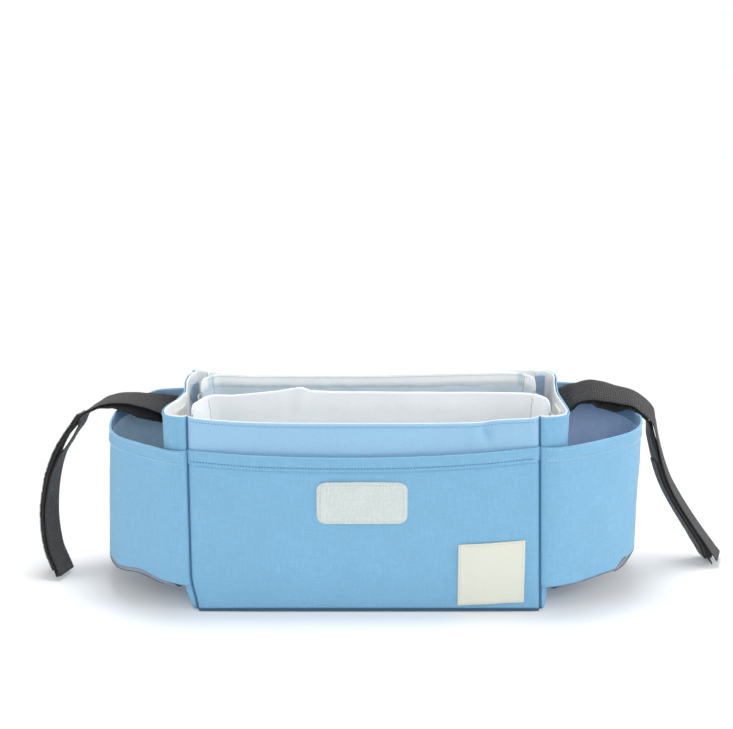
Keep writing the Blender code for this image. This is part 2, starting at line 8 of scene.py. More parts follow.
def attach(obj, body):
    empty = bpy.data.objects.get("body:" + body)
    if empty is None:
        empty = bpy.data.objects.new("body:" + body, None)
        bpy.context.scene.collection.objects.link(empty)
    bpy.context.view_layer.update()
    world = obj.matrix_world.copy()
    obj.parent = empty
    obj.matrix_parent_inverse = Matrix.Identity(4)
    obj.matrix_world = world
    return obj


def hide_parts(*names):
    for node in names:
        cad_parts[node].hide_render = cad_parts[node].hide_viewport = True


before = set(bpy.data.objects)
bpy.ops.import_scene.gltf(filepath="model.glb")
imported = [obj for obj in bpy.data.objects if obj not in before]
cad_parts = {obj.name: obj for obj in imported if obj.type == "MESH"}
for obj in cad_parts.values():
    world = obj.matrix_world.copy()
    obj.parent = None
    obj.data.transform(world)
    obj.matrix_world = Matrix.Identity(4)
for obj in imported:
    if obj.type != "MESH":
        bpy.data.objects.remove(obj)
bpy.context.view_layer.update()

# The camera, as the photograph was taken.
CAMERA_PLACE = (0.00053, -1.98271, 0.93449)
CAMERA_DOWN = 0.349853
FOCAL_LENGTH, SENSOR_WIDTH = 117.34, 36.0

camera_data = bpy.data.cameras.new("camera")
camera_data.sensor_width = SENSOR_WIDTH
camera_data.lens = FOCAL_LENGTH
camera_data.clip_end = 50.0
camera = bpy.data.objects.new("camera", camera_data)
bpy.context.scene.collection.objects.link(camera)
camera.location = CAMERA_PLACE
camera.rotation_euler = (math.pi / 2 - CAMERA_DOWN, 0.0, 0.0)
bpy.context.scene.camera = camera

# Lights: place, target, size in metres and power in watts.
WHITE_LIGHT = (1.0, 1.0, 1.0)
AMBIENT = 0.62
FLOOR_REACH = 8.0
FLOOR_FADE = (0.20, 0.66)
LAMPS = [
    ("overhead", (0.0, 0.27, 1.8), (0.0, 0.0, 0.1), (0.7, 0.5), 17.5),
    ("front", (0.5, -2.2, 1.5), (0.0, 0.0, 0.1), (1.6, 1.2), 12.0),
    ("right", (2.0, -0.5, 0.9), (0.1, 0.0, 0.1), (1.0, 1.2), 16.0),
    ("left", (-2.0, -0.8, 0.7), (-0.1, 0.0, 0.1), (1.0, 1.2), 9.0),
]

# Sizes in metres, as in the part's source.
LENGTH = 0.310
BACK_LENGTH = 0.300
DEPTH = 0.120
HEIGHT = 0.184
FRONT_SAG = 0.006
END_BULGE_TOP = 0.0225
END_BULGE_FOOT = 0.0045
SHELL = 0.0010
LINING = 0.0008
BOARD = 0.0030
PADDING = 0.0034
WEBBING = 0.0014
TAPE = 0.0012
GAP = 0.0003
BOARD_DROP = 0.016
LINING_TURN = 0.010
POCKET_LEFT = 0.154
POCKET_RIGHT = 0.157
POCKET_SAG = 0.0075
POCKET_SWELL = 0.0028
CUP_REACH_TOP = {"left": 0.0735, "right": 0.0910}
CUP_REACH_FOOT = {"left": 0.0785, "right": 0.0895}
CUP_BASE_SAG = 0.003
CUP_FOOT = {
    "left": [(0.0, 0.0250), (0.10, 0.0275), (0.22, 0.0325), (0.33, 0.0292), (0.42, 0.0308), (1.0, 0.0300)],
    "right": [(0.0, 0.0234), (0.10, 0.0242), (0.28, 0.0272), (0.41, 0.0362), (0.52, 0.0340), (1.0, 0.0310)],
}
CUP_RIM = {
    "left": [(0.0, 0.1530), (0.5, 0.1525), (0.62, 0.1515), (0.71, 0.1530), (0.86, 0.1620), (1.0, 0.1640)],
    "right": [(0.0, 0.1563), (0.4, 0.1565), (0.5, 0.1555), (0.6, 0.1510), (0.7, 0.1530), (0.85, 0.1680),
              (1.0, 0.1700)],
}
FRONT_DIVIDER_TOP = 0.1845
FRONT_DIVIDER_FOLDS = {
    "left": [(0.0, 0.026), (0.003, 0.013), (0.009, 0.003), (0.019, 0.0)],
    "right": [(-0.008, 0.020), (-0.003, 0.010), (0.006, 0.0025), (0.017, 0.0)],
}
REAR_DIVIDER_TOP = 0.1835
REAR_DIVIDER_FOLDS = {
    "left": [(-0.004, 0.019), (0.0, 0.009), (0.0065, 0.002), (0.016, 0.0002)],
    "right": [(0.0010, 0.018), (0.0060, 0.009), (0.0130, 0.002), (0.0210, 0.0002)],
}
STRAP_WIDTH = 0.025
STRIP_WIDTH = 0.018
STRIP_LENGTH = 0.110
STRIP_END = 0.006
# Stations of the straps: x, y and z from the back corner in mm, the width's direction in hundredths,
# the drop to the inner webbing in mm and its turn in degrees.
STATION_UNITS = (1000, 1000, 1000, 100, 100, 100, 1000, 1)
LEFT_STRAP = [
    (0.8, 1, 144, 0, 0, 100, 1.7, 0),
    (11, 1, 144, 0, 0, 100, 2, 0),
    (19, -0.4, 145.3, 0, 30, 95, 3.4, 4),
    (26.5, -5.5, 150, 0, 75, 66, 6.2, 12),
    (35, -9.7, 155.4, 0, 94, 33, 7.4, 20),
    (48, -12, 159.2, 0, 99, 17, 8, 20),
    (63, -13.2, 161.6, 0, 100, 5, 5.8, 12),
    (78.5, -14.5, 160.4, -9, 100, -4, 4, 2),
    (90, -15.4, 155.5, -15, 98, -11, 1.8, 0),
    (101.2, -15.9, 147.9, -24, 96, -16, 1.8, 0),
    (108.2, -16.3, 138.5, -20, 97, -14, 4.4, 0),
    (117.4, -20.3, 127, -17, 98, -8, 5.8, 0),
    (126.1, -22.2, 110.2, -21, 98, -5, 4.4, 0),
    (132.4, -26.6, 88.1, -30, 95, -4, 3.7, 0),
    (135.6, -33.1, 57.6, -37, 93, -7, 3.6, 0),
    (132.2, -40.5, 27.4, -40, 91, -10, 3.6, 0),
    (125.2, -45.2, 9.8, -41, 90, -10, 3.6, 0),
    (122.6, -46.6, 3.2, -42, 90, -10, 3.6, 0),
]
RIGHT_STRAP = [
    (0.8, 1, 144, 0, 0, 100, 1.7, 0),
    (11, 1, 145.2, 0, 0, 100, 1.8, 0),
    (20, -1, 150.6, 0, 15, 99, 2, 0),
    (28.5, -6.5, 159, 0, 62, 78, 2.2, 0),
    (37.5, -10.4, 165.8, 0, 90, 43, 2.4, 0),
    (48.4, -11.8, 169, 0, 89, 45, 3.6, 6),
    (59, -11.9, 167.8, 0, 90, 43, 6, 17),
    (73.5, -12, 164.5, 0, 94, 33, 6.4, 20),
    (88, -12.6, 160.9, 4, 95, 28, 3, 3),
    (97.9, -13.5, 154, 12, 95, 28, 3.1, 0),
    (104.9, -13.5, 146.7, 17, 96, 20, 4, -4),
    (108.3, -13.9, 138, 12, 99, 9, 6.2, -11),
    (112.1, -13.4, 121.4, 11, 99, 0, 6.5, -18),
    (117.2, -14.1, 101.7, 14, 99, -4, 6.7, -19),
    (123.9, -14.9, 82.7, 16, 98, -7, 6.9, -20),
    (131.9, -15.4, 67, 19, 98, -8, 7.1, -22),
    (140.9, -16.1, 52.2, 20, 98, -9, 7.3, -23),
    (150.8, -16.8, 37.1, 21, 97, -10, 7.7, -24),
    (160, -17.2, 23.9, 22, 97, -11, 8.8, -25),
    (166.8, -17.8, 14, 24, 96, -8, 10.4, -22),
    (172.2, -19.2, 6.8, 24, 97, -4, 8.8, -14),
]
END_PLAN = [(0.38, 0.012), (0.68, 0.032), (0.90, 0.065), (0.99, 0.115), (0.96, 0.21), (0.80, 0.375),
            (0.69, 0.54), (0.69, 0.70), (0.74, 0.83), (0.70, 0.92), (0.50, 0.98)]
CUP_PLAN = [(0.15, 0.006), (0.27, 0.035), (0.42, 0.090), (0.60, 0.163), (0.78, 0.253), (0.90, 0.34),
            (0.97, 0.44), (1.0, 0.58), (0.995, 0.73), (0.955, 0.85), (0.86, 0.95), (0.70, 1.025),
            (0.48, 1.055), (0.25, 1.058), (0.08, 1.045), (0.0, 1.030)]
SEAM_RUN = 0.0015
FLOOR_TOP = SHELL + GAP + BOARD + GAP
INNER_FLOOR = FLOOR_TOP + LINING + GAP
BOARD_TOP = HEIGHT - BOARD_DROP
LINING_INSET = SHELL + GAP
BOARDED_INSET = LINING_INSET + BOARD + GAP
REAR_PLANE = DEPTH / 2 - BOARDED_INSET - LINING - 0.0029 - PADDING / 2
POCKET_PLANE = -DEPTH / 2 - GAP - SHELL
PATCH_WIDTH, PATCH_HEIGHT, PATCH_CORNER = 0.079, 0.0395, 0.008
PATCH_X, PATCH_Z = -0.0034, 0.106
LABEL_WIDTH, LABEL_HEIGHT, LABEL_FABRIC = 0.0585, 0.060, 0.0006
LABEL_SEAM_GAP, LABEL_LOW, LABEL_RISE = 0.015, 0.0060, 0.0033
LOOP_TAPE_WIDTH, LOOP_TAPE_CENTRE = 0.020, 0.045
LOOP_TAPE_FOOT, LOOP_TAPE_DROP = 0.045, 0.008

# What only the visible pieces have, in metres.
SLIT = 0.0001
HEM = 0.0128
HEM_ROWS = 7
FOOT_DRAW, FOOT_DRAW_HEIGHT = 0.0015, 0.0045
TAB_WIDTH = 0.013 + 0.003
DIVIDER_COLUMNS = 170
DIMPLE_X = 0.1075
# Painted shade on the rear divider: the heights of its wavy border, and how far from the middle its band near each end
# lies.
PAINTED_SHADE_BORDER = (0.1738, 0.1762)
PAINTED_SHADE_BAND = 0.1402
# How far the left end leans in at a depth y, and the heights of rims at an x.
LEFT_PULL = ([-0.040, -0.028, -0.016, 0.002, 0.027, 0.045, 0.054, 0.0605, 0.0615],
             [0.0, 0.0012, 0.0050, 0.0068, 0.0046, 0.0066, 0.0080, 0.0012, 0.0])
BACK_RIM = ([-0.150, -0.141, -0.128, -0.115, -0.080, 0.012, 0.058, 0.085, 0.112, 0.131],
            [0.1828, 0.1822, 0.1805, 0.1783, 0.1778, 0.1778, 0.1806, 0.1820, 0.1835, 0.1845])
FRONT_RIM = ([-0.145, -0.130, -0.103, -0.081, -0.0620, -0.0570, -0.0525, -0.0490, 0.0, 0.13],
             [0.1824, 0.1818, 0.1838, 0.1858, 0.1888, 0.1893, 0.1872, 0.1852, 0.1848, 0.1842])
REAR_RIM = ([-0.14, -0.11, 0.02, 0.085, 0.131], [0.1836, 0.1824, 0.1824, 0.1842, 0.1852])
# Section of the front's foot seam: how far forward, and how high.
FOOT_SEAM_SECTION = ([0.0010, 0.0015, 0.0017, 0.0015, 0.0010, 0.0005, 0.0000],
                     [0.0005, 0.0007, 0.0012, 0.0018, 0.0024, 0.0028, 0.0030])
# The cup bases' extra drop along the cup, and the columns with a dark line along the edge.
CUP_LIP = {"left": ([0.04, 0.12, 0.20, 0.36, 0.50], [0.0, 0.0018, 0.0028, 0.0026, 0.0]),
           "right": ([0.27, 0.31, 0.34, 0.37, 0.40], [0.0, 0.0010, 0.0016, 0.0010, 0.0])}
DARK_EDGE_RUN = {"left": slice(28, 86), "right": slice(24, 40)}
# Strips of painted shade on the lining beside the rear divider's tabs: from y, to y, from z, to z.
REAR_PAINTED_SHADE = {"left": (0.038, 0.0550, 0.1560, 0.1745), "right": (0.0564, 0.0587, 0.1560, 0.1800)}


# Numbers and lines.
def smoothstep(value):
    share = np.clip(value, 0.0, 1.0)
    return share * share * (3.0 - 2.0 * share)


def blend(start, end, share):
    return start + (end - start) * share


def steps_to(count):
    return np.linspace(0.0, 1.0, count)


def hump(value, centre, width):
    """A smooth bump of height 1."""
    return np.exp(-((value - centre) / width) ** 2)


def pinch(value, centre, reach):
    """1 at a centre and 0 from a reach away."""
    return np.clip(1.0 - np.abs(value - centre) / reach, 0.0, 1.0) ** 2


def between(pairs, position):
    """Value at a position on a line of (position, value) pairs that turns softly."""
    for (low, low_value), (high, high_value) in zip(pairs, pairs[1:]):
        if position <= high:
            return blend(low_value, high_value, float(smoothstep((position - low) / (high - low))))
    return pairs[-1][1]


def travelled(points, axis=0):
    """Distance run along a line, or along the columns (0) or rows (1) of a grid."""
    steps = np.linalg.norm(np.diff(points, axis=axis), axis=-1)
    return np.insert(np.cumsum(steps, axis=axis), 0, 0.0, axis=axis)


def below_top(grid):
    """Distance of each point from the top of its column, along the cloth."""
    run = travelled(grid)
    return run[-1] - run


def off_ends(grid, reach):
    """0 at both ends of each row and 1 from a reach inside them."""
    row = travelled(grid, 1)
    return smoothstep(row / reach) * smoothstep((row[:, -1:] - row) / reach)


def resample(line, count):
    lengths = travelled(line)
    goals = np.linspace(0.0, lengths[-1], count)
    return np.stack([np.interp(goals, lengths, values) for values in line.T], axis=1)


def smooth_line(points, count, steps=12):
    """Evenly spaced points on a smooth line through the given ones."""
    given = np.array(points, dtype=float)
    spans = np.linalg.norm(np.diff(given, axis=0), axis=1)[:, None]
    slopes = np.vstack([(given[1] - given[0]) / spans[0], (given[2:] - given[:-2]) / (spans[:-1] + spans[1:]),
                        (given[-1] - given[-2]) / spans[-1]])
    t = np.arange(steps)[:, None] / steps
    dense = []
    for index, span in enumerate(spans):
        start = given[index] * (2 * t ** 3 - 3 * t ** 2 + 1) + given[index + 1] * (3 * t ** 2 - 2 * t ** 3)
        lean = slopes[index] * (t ** 3 - 2 * t ** 2 + t) + slopes[index + 1] * (t ** 3 - t ** 2)
        dense.append(start + lean * span)
    return resample(np.vstack(dense + [given[-1:]]), count)


def inset_line(line, distance):
    """A plan line moved to the left of its run."""
    runs = np.diff(line, axis=0)
    runs /= np.linalg.norm(runs, axis=1)[:, None]
    sides = np.stack([-runs[:, 1], runs[:, 0]], axis=1)
    after = np.vstack([sides, sides[-1:]])
    corner = np.vstack([sides[:1], sides]) + after
    corner /= np.linalg.norm(corner, axis=1)[:, None]
    reach = np.maximum((corner * after).sum(axis=1), 0.5)
    return line + corner * (distance / reach)[:, None]


def wander(points, scale, seed):
    """Smooth noise of about -1 to 1 at each point of a grid."""
    shift = Vector((seed * 7.31, seed * 3.17, seed * 5.77))
    spots = [Vector(point) * scale + shift for point in points.reshape(-1, 3)]
    values = [noise.noise(spot) + 0.5 * noise.noise(spot * 2.1) for spot in spots]
    return np.array(values).reshape(points.shape[:-1])


def unit(vectors):
    return vectors / (np.linalg.norm(vectors, axis=-1)[..., None] + 1e-12)


def normals(grid):
    """Unit normals of a grid, by the right hand over its columns and rows."""
    return unit(np.cross(np.gradient(grid, axis=1), np.gradient(grid, axis=0)))


def grid_of(x, y, z):
    """A grid of points from values that spread over its rows and columns."""
    return np.stack(np.broadcast_arrays(x, y, z), axis=-1).astype(float)


def on_side(grid, side):
    """A piece of the right side, mirrored for the left one."""
    return grid if side == "right" else grid[:, ::-1] * (-1.0, 1.0, 1.0)


def seam_warp(grid):
    """Draws every layer in at the four corner seams and at the foot of the front and back."""
    warped = grid.copy()
    x, y, z = np.moveaxis(grid, -1, 0)
    front, back = smoothstep((-y - 0.040) / 0.012), smoothstep((y - 0.040) / 0.012)
    warped[..., 1] += 0.0034 * pinch(np.abs(x), LENGTH / 2, 0.0055) * front
    warped[..., 1] -= 0.0024 * pinch(np.abs(x), BACK_LENGTH / 2, 0.0050) * back
    warped[..., 1] += FOOT_DRAW * pinch(z, 0.0, FOOT_DRAW_HEIGHT) * (front - back)
    return lean_warp(warped)


def sewn(grid, side):
    return seam_warp(on_side(grid, side))


def lean_warp(grid):
    """The stance of the photographed bag: its back stands a little to the right and its corners are pulled in."""
    warped = grid.copy()
    x, y, z = np.moveaxis(grid, -1, 0)
    fade = 1.0 - smoothstep((np.abs(x) - 0.180) / 0.040)
    warped[..., 0] += np.interp(y, *LEFT_PULL) * smoothstep((-x - 0.050) / 0.080) * fade
    warped[..., 0] += 0.0042 * smoothstep((y + 0.050) / 0.100) * smoothstep((x - 0.030) / 0.100) * fade
    frontal = smoothstep((0.030 - y) / 0.080)
    right = smoothstep((x - 0.050) / 0.105) * (1.0 - smoothstep((x - 0.1555) / 0.014))
    warped[..., 0] -= 0.0046 * np.clip(z / HEIGHT, 0.0, 1.1) * right * frontal
    left = smoothstep((-x - 0.090) / 0.065) * (1.0 - smoothstep((-x - 0.1555) / 0.014))
    warped[..., 0] += 0.0055 * (1.0 - smoothstep(z / 0.036)) * left * frontal
    return warped


# Meshes.
COLLECTION = bpy.data.collections.new("dressed")
bpy.context.scene.collection.children.link(COLLECTION)
GRIDS = {}


def add_mesh(name, vertices, faces, materials, slots=None, uvs=None):
    mesh = bpy.data.meshes.new(name)
    mesh.from_pydata(np.asarray(vertices).tolist(), [], faces)
    for material in materials:
        mesh.materials.append(material)
    if slots is not None:
        mesh.polygons.foreach_set("material_index", slots)
    if uvs is not None:
        layer = mesh.uv_layers.new(name="UVMap")
        loops = np.empty(len(mesh.loops), dtype=np.int32)
        mesh.loops.foreach_get("vertex_index", loops)
        layer.data.foreach_set("uv", np.asarray(uvs, dtype=np.float32)[loops].ravel())
    mesh.shade_smooth()
    mesh.update()
    item = bpy.data.objects.new(name, mesh)
    COLLECTION.objects.link(item)
    return item


def dress(item, node=None):
    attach(item, "root")
    if node:
        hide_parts(node)


def shell(name, face, back, material, node=None, back_material=None, round_rim=0.35):
    """A closed piece of cloth between two grids, with rounded edges; a back material has a turned hem on top."""
    rows, columns = face.shape[:2]
    count = rows * columns
    spots = np.arange(count).reshape(rows, columns)
    quads = np.stack([spots[:-1, :-1], spots[:-1, 1:], spots[1:, 1:], spots[1:, :-1]], axis=-1).reshape(-1, 4)
    loop = np.r_[spots[0], spots[1:, -1], spots[-1, -2::-1], spots[-2:0:-1, 0]]
    ahead = np.roll(loop, -1)
    ring = 2 * count + np.arange(len(loop))
    ring_ahead = np.roll(ring, -1)
    rims = np.stack([loop, ring, ring_ahead, ahead, ring, count + loop, count + ahead, ring_ahead], axis=1)
    faces = np.vstack([quads, quads[:, ::-1] + count, rims.reshape(-1, 4)])
    slots = np.zeros(len(faces), dtype=np.int32)
    if back_material:
        level = np.repeat(np.arange(rows - 1), columns - 1)
        slots[len(quads):2 * len(quads)] = np.where(level < rows - 1 - HEM_ROWS, 1, 2)

    flat_face, flat_back = face.reshape(-1, 3), back.reshape(-1, 3)
    row, column = np.divmod(loop, columns)
    outward = unit(flat_face[loop] - face[np.clip(row, 1, rows - 2), np.clip(column, 1, columns - 2)])
    thick = np.linalg.norm(flat_face[loop] - flat_back[loop], axis=1)
    edge = (flat_face[loop] + flat_back[loop]) / 2 + outward * (thick * round_rim)[:, None]
    along = travelled(face, 1)
    uv = np.stack([along - along[:, -1:] / 2, travelled(face)], axis=2).reshape(-1, 2)
    materials = [material, back_material, HEM_INSIDE] if back_material else [material]
    item = add_mesh(name, np.vstack([flat_face, flat_back, edge]), faces.tolist(), materials, slots,
                    np.vstack([uv, uv, uv[loop]]))
    GRIDS[name] = (face, normals(face))
    dress(item, node)
    return item


def cloth(name, face, thickness, material, node=None, back_material=None):
    """A sheet made solid towards its back, by one thickness or one for each point."""
    back = face - normals(face) * np.broadcast_to(thickness, face.shape[:2])[..., None]
    item = shell(name, face, back, material, node, back_material)


def path_below_top(name, depth, ends):
    """Points and normals of a line at a distance below the top of a piece's face, but for a share at its ends."""
    grid, facing = GRIDS[name]
    drop = below_top(grid)[::-1]
    both = np.concatenate([grid, facing], axis=2)[::-1]
    last = grid.shape[1] - 1
    path = np.array([[np.interp(depth, drop[:, column], both[:, column, axis]) for axis in range(6)]
                     for column in range(int(ends * last), int((1.0 - ends) * last) + 1)])
    return path[:, :3], path[:, 3:]


def stitches(name, path, material, pitch=0.0027, length=0.0016, radius=0.00042, sink=0.3):
    """A row of short threads that lie in a piece's face, each a tube of five rings of six corners."""
    lengths = travelled(path[0])
    track = np.hstack(path)
    vertices, faces = [], []
    for number in range(int(lengths[-1] / pitch)):
        spots = []
        for share in (-0.5, -0.3, 0.0, 0.3, 0.5):
            goal = min(max((number + 0.5) * pitch + share * length, 0.0), lengths[-1])
            spot, side = np.split(np.array([np.interp(goal, lengths, values) for values in track.T]), 2)
            side = side / np.linalg.norm(side)
            rise = radius * (0.9 - sink - 1.28 * (2 * share) ** 2)
            spots.append((spot + side * rise, side, radius * (0.55 if abs(share) == 0.5 else 1.0)))
        run = unit(spots[-1][0] - spots[0][0])
        base = len(vertices)
        for spot, side, reach in spots:
            across = np.cross(side, run)
            for angle in np.arange(6) * math.pi / 3:
                vertices.append(spot + (across * math.cos(angle) + side * math.sin(angle)) * reach)
        for low in range(base, base + 24, 6):
            for corner in range(6):
                following = (corner + 1) % 6
                faces.append((low + corner, low + following, low + 6 + following, low + 6 + corner))
        faces.append(tuple(base + corner for corner in range(5, -1, -1)))
        faces.append(tuple(base + 24 + corner for corner in range(6)))
    dress(add_mesh(name, vertices, faces, [material]))


# Materials.
class Graph:
    """Adds nodes to a shader tree, each with its inputs set or linked."""

    def __init__(self, tree):
        self.tree = tree

    def fill(self, node, inputs):
        for key, value in inputs.items():
            if isinstance(value, bpy.types.NodeSocket):
                self.tree.links.new(value, node.inputs[key])
            else:
                node.inputs[key].default_value = value

    def add(self, kind, inputs=None, output=0, **settings):
        node = self.tree.nodes.new("ShaderNode" + kind)
        for key, value in settings.items():
            setattr(node, key, value)
        self.fill(node, inputs or {})
        return node.outputs[output] if len(node.outputs) else node

    def math(self, operation, *values):
        return self.add("Math", dict(enumerate(values)), operation=operation)

    def plus(self, first, second):
        return self.math("ADD", first, second)

    def times(self, first, second):
        return self.math("MULTIPLY", first, second)

    def noise(self, vector, scale, detail, roughness=0.5):
        return self.add("TexNoise", {"Vector": vector, "Scale": scale, "Detail": detail, "Roughness": roughness})

    def scaled(self, vector, scale):
        return self.add("Mapping", {"Vector": vector, "Scale": scale})

    def stretch(self, value, low, high):
        return self.add("MapRange", {"Value": value, "From Min": low, "From Max": high})

    def mix(self, factor, first, second):
        return self.add("Mix", {0: factor, 6: first, 7: second}, 2, data_type="RGBA")

    def relief(self, shader, height, depth):
        bump = self.add("Bump", {"Strength": 1.0, "Distance": depth, "Height": height})
        self.fill(shader, {"Normal": bump})

    def seen(self):
        """1 for rays that come from the camera, straight or over a glossy or clear surface."""
        rays = self.add("LightPath").node.outputs
        indirect = self.math("MAXIMUM", rays["Is Glossy Ray"], rays["Is Transmission Ray"])
        return self.math("MAXIMUM", rays["Is Camera Ray"], indirect)


def new_material(name):
    material = bpy.data.materials.new(name)
    material.use_nodes = True
    return material, Graph(material.node_tree), material.node_tree.nodes["Principled BSDF"]


def tone(colour, factor=1.0):
    return (*(min(channel * factor, 1.0) for channel in colour), 1.0)


def woven(name, colour, pitch, depth, roughness, sheen, spread, fine=0.0, weave="plain", painted_shade=None):
    """Woven cloth: thread bumps over UVs in metres, slubs along the threads and a mottled colour, with painted shade
    below a wavy height and in a band near each end when a shade colour is given.
    """
    material, graph, shader = new_material(name)
    uv = graph.add("TexCoord", output="UV")
    place = uv.node.outputs["Object"]
    split = graph.add("SeparateXYZ", {0: uv}).node.outputs
    u, v = (graph.times(split[axis], 2.0 * math.pi / pitch) for axis in (0, 1))
    if weave == "plain":
        height = graph.times(graph.math("SINE", u), graph.math("SINE", v))
    elif weave == "twill":
        diagonal = graph.math("SINE", graph.plus(u, graph.times(v, 0.6)))
        height = graph.plus(diagonal, graph.times(graph.math("SINE", v), 0.45))
    else:
        height = graph.math("SINE", u)
    slubs = [graph.noise(graph.scaled(uv, scale), 1.0, 2.0) for scale in ((60.0, 900.0, 1.0), (900.0, 60.0, 1.0))]
    slub = graph.plus(*slubs)
    graph.relief(shader, graph.plus(graph.times(height, 0.5), slub), depth)
    broad = graph.noise(place, 28.0, 3.0)
    grain = graph.noise(place, 420.0, 2.0)
    speck = graph.stretch(graph.plus(graph.times(broad, 0.5), grain), 0.5, 1.0)
    base = graph.mix(speck, tone(colour, 1.0 - spread), tone(colour, 1.0 + spread))
    if fine:
        base = graph.mix(graph.stretch(slub, 0.75, 1.25), base, tone(colour, 1.0 - fine))
    # Painted shade: the cloth turns grey-blue below a wavy border and in a narrow band near each end.
    if painted_shade:
        spot = graph.add("SeparateXYZ", {0: place}).node.outputs
        wave = graph.noise(graph.scaled(place, (75.0, 0.0, 0.0)), 1.0, 2.0)
        painted_shade_edge = graph.plus(spot[2], graph.times(wave, 0.0045))
        from_painted_shade_band = graph.math("ABSOLUTE", graph.math("SUBTRACT", graph.math("ABSOLUTE", spot[0]), PAINTED_SHADE_BAND))
        level = graph.math("MINIMUM", graph.stretch(painted_shade_edge, *PAINTED_SHADE_BORDER), graph.stretch(from_painted_shade_band, 0.0016, 0.0034))
        base = graph.mix(level, tone(painted_shade), base)
    graph.fill(shader, {"Base Color": base, "Roughness": roughness, "Specular IOR Level": 0.5, "Sheen Weight": sheen,
                        "Sheen Roughness": 0.5, "Sheen Tint": tone((1.0, 1.0, 1.0))})
    return material


def grainy(name, colour, scale, depth, roughness, spread=0.06, sheen=0.0):
    """A surface with no weave, such as coated cloth, thread, pile or foam."""
    material, graph, shader = new_material(name)
    place = graph.add("TexCoord", output="Object")
    grain = graph.noise(place, scale, 3.0, 0.6)
    graph.relief(shader, grain, depth)
    broad = graph.noise(place, 24.0, 3.0)
    mixed = graph.plus(graph.times(grain, 0.5), graph.times(broad, 0.5))
    base = graph.mix(graph.stretch(mixed, 0.3, 0.7), tone(colour, 1.0 - spread), tone(colour, 1.0 + spread))
    graph.fill(shader, {"Base Color": base, "Roughness": roughness, "Sheen Weight": sheen})
    return material


# Cloths by colour, thread pitch, bump depth, roughness, sheen, mottling and thread stripes.
BLUE = woven("blue_oxford", (0.205, 0.468, 0.690), 0.0010, 0.00014, 0.55, 0.25, 0.08, 0.10)
# A paler copy of the blue for the front wall's band above the pocket: a painted highlight of the overhead light.
BLUE_PAINTED_HIGHLIGHT = woven("blue_oxford_painted_highlight", (0.315, 0.555, 0.765), 0.0010, 0.00012, 0.50, 0.15, 0.07, 0.05)
WHITE = woven("white_lining", (0.890, 0.905, 0.915), 0.0006, 0.00005, 0.45, 0.05, 0.02)
PAD = woven("white_divider_cloth", (0.890, 0.925, 0.945), 0.0008, 0.00007, 0.55, 0.05, 0.02)
# The rear divider's cloth carries painted shade below its hem and near its ends.
PAD_REAR = woven("rear_divider_cloth", (0.900, 0.925, 0.940), 0.0008, 0.00007, 0.55, 0.05, 0.02,
                 painted_shade=(0.640, 0.750, 0.820))
HEM_INSIDE = woven("hem_inside", (0.290, 0.430, 0.600), 0.0010, 0.00010, 0.5, 0.1, 0.06, 0.05)
CREAM_HOOK = woven("cream_hook_tape", (0.690, 0.745, 0.722), 0.0017, 0.00028, 0.85, 0.0, 0.10, 0.10, "rib")
LABEL = woven("cream_label", (0.745, 0.745, 0.640), 0.0009, 0.00009, 0.85, 0.05, 0.015)
# A dusky blue for sheets that stand in for shade: painted shade.
PAINTED_SHADE_BLUE = woven("painted_shade_blue", (0.330, 0.450, 0.610), 0.0010, 0.00012, 0.6, 0.15, 0.10)
WEB = woven("black_webbing", (0.026, 0.0235, 0.0235), 0.0022, 0.00070, 0.75, 0.16, 0.30, 0.30, "twill")

# Other surfaces by colour, grain scale, bump depth, roughness, mottling and sheen.
# Seam strips: the seam allowance's own blue, darkened with painted shade of the seam's groove.
SEAM_AND_SHADE = grainy("blue_seam_and_painted_shade", (0.050, 0.160, 0.310), 1500.0, 0.0001, 0.8)
# The foot seam's dark blue is partly the seam's own colour and partly painted contact shadow.
FOOT_SEAM_AND_SHADOW = grainy("foot_seam_and_painted_shadow", (0.038, 0.092, 0.155), 1500.0, 0.0001, 0.8)
DARK_EDGE = grainy("dark_base_edge", (0.060, 0.085, 0.110), 1500.0, 0.0002, 0.8)
BLUE_THREAD, PALE_THREAD, BEIGE_THREAD, BROWN_THREAD, LABEL_THREAD = (
    grainy(name + "_thread", colour, 2500.0, 0.0001, roughness) for name, colour, roughness in (
        ("blue", (0.085, 0.230, 0.400), 0.6), ("pale_blue", (0.420, 0.640, 0.800), 0.6),
        ("beige", (0.420, 0.400, 0.390), 0.7), ("brown", (0.300, 0.245, 0.210), 0.7),
        ("label", (0.520, 0.530, 0.450), 0.7)))
# The left cup's coating is a paler copy of the right's: painted light inside the left cup.
COATED_WITH_PAINTED_LIGHT = {side: grainy("grey_coating_" + side, colour, 180.0, 0.00030, 0.30, 0.10)
          for side, colour in (("left", (0.730, 0.850, 0.990)), ("right", (0.600, 0.710, 0.920)))}
BASE_GREY = grainy("cup_base_grey", (0.200, 0.240, 0.290), 260.0, 0.0004, 0.5, 0.25)
FOAM = grainy("white_foam", (0.80, 0.80, 0.78), 900.0, 0.0003, 0.9)
CREAM_LOOP = grainy("cream_loop_tape", (0.800, 0.790, 0.730), 1200.0, 0.0006, 0.95, 0.08, 0.3)
PILE = grainy("black_pile", (0.018, 0.017, 0.018), 1800.0, 0.0006, 0.95, 0.3, 0.2)


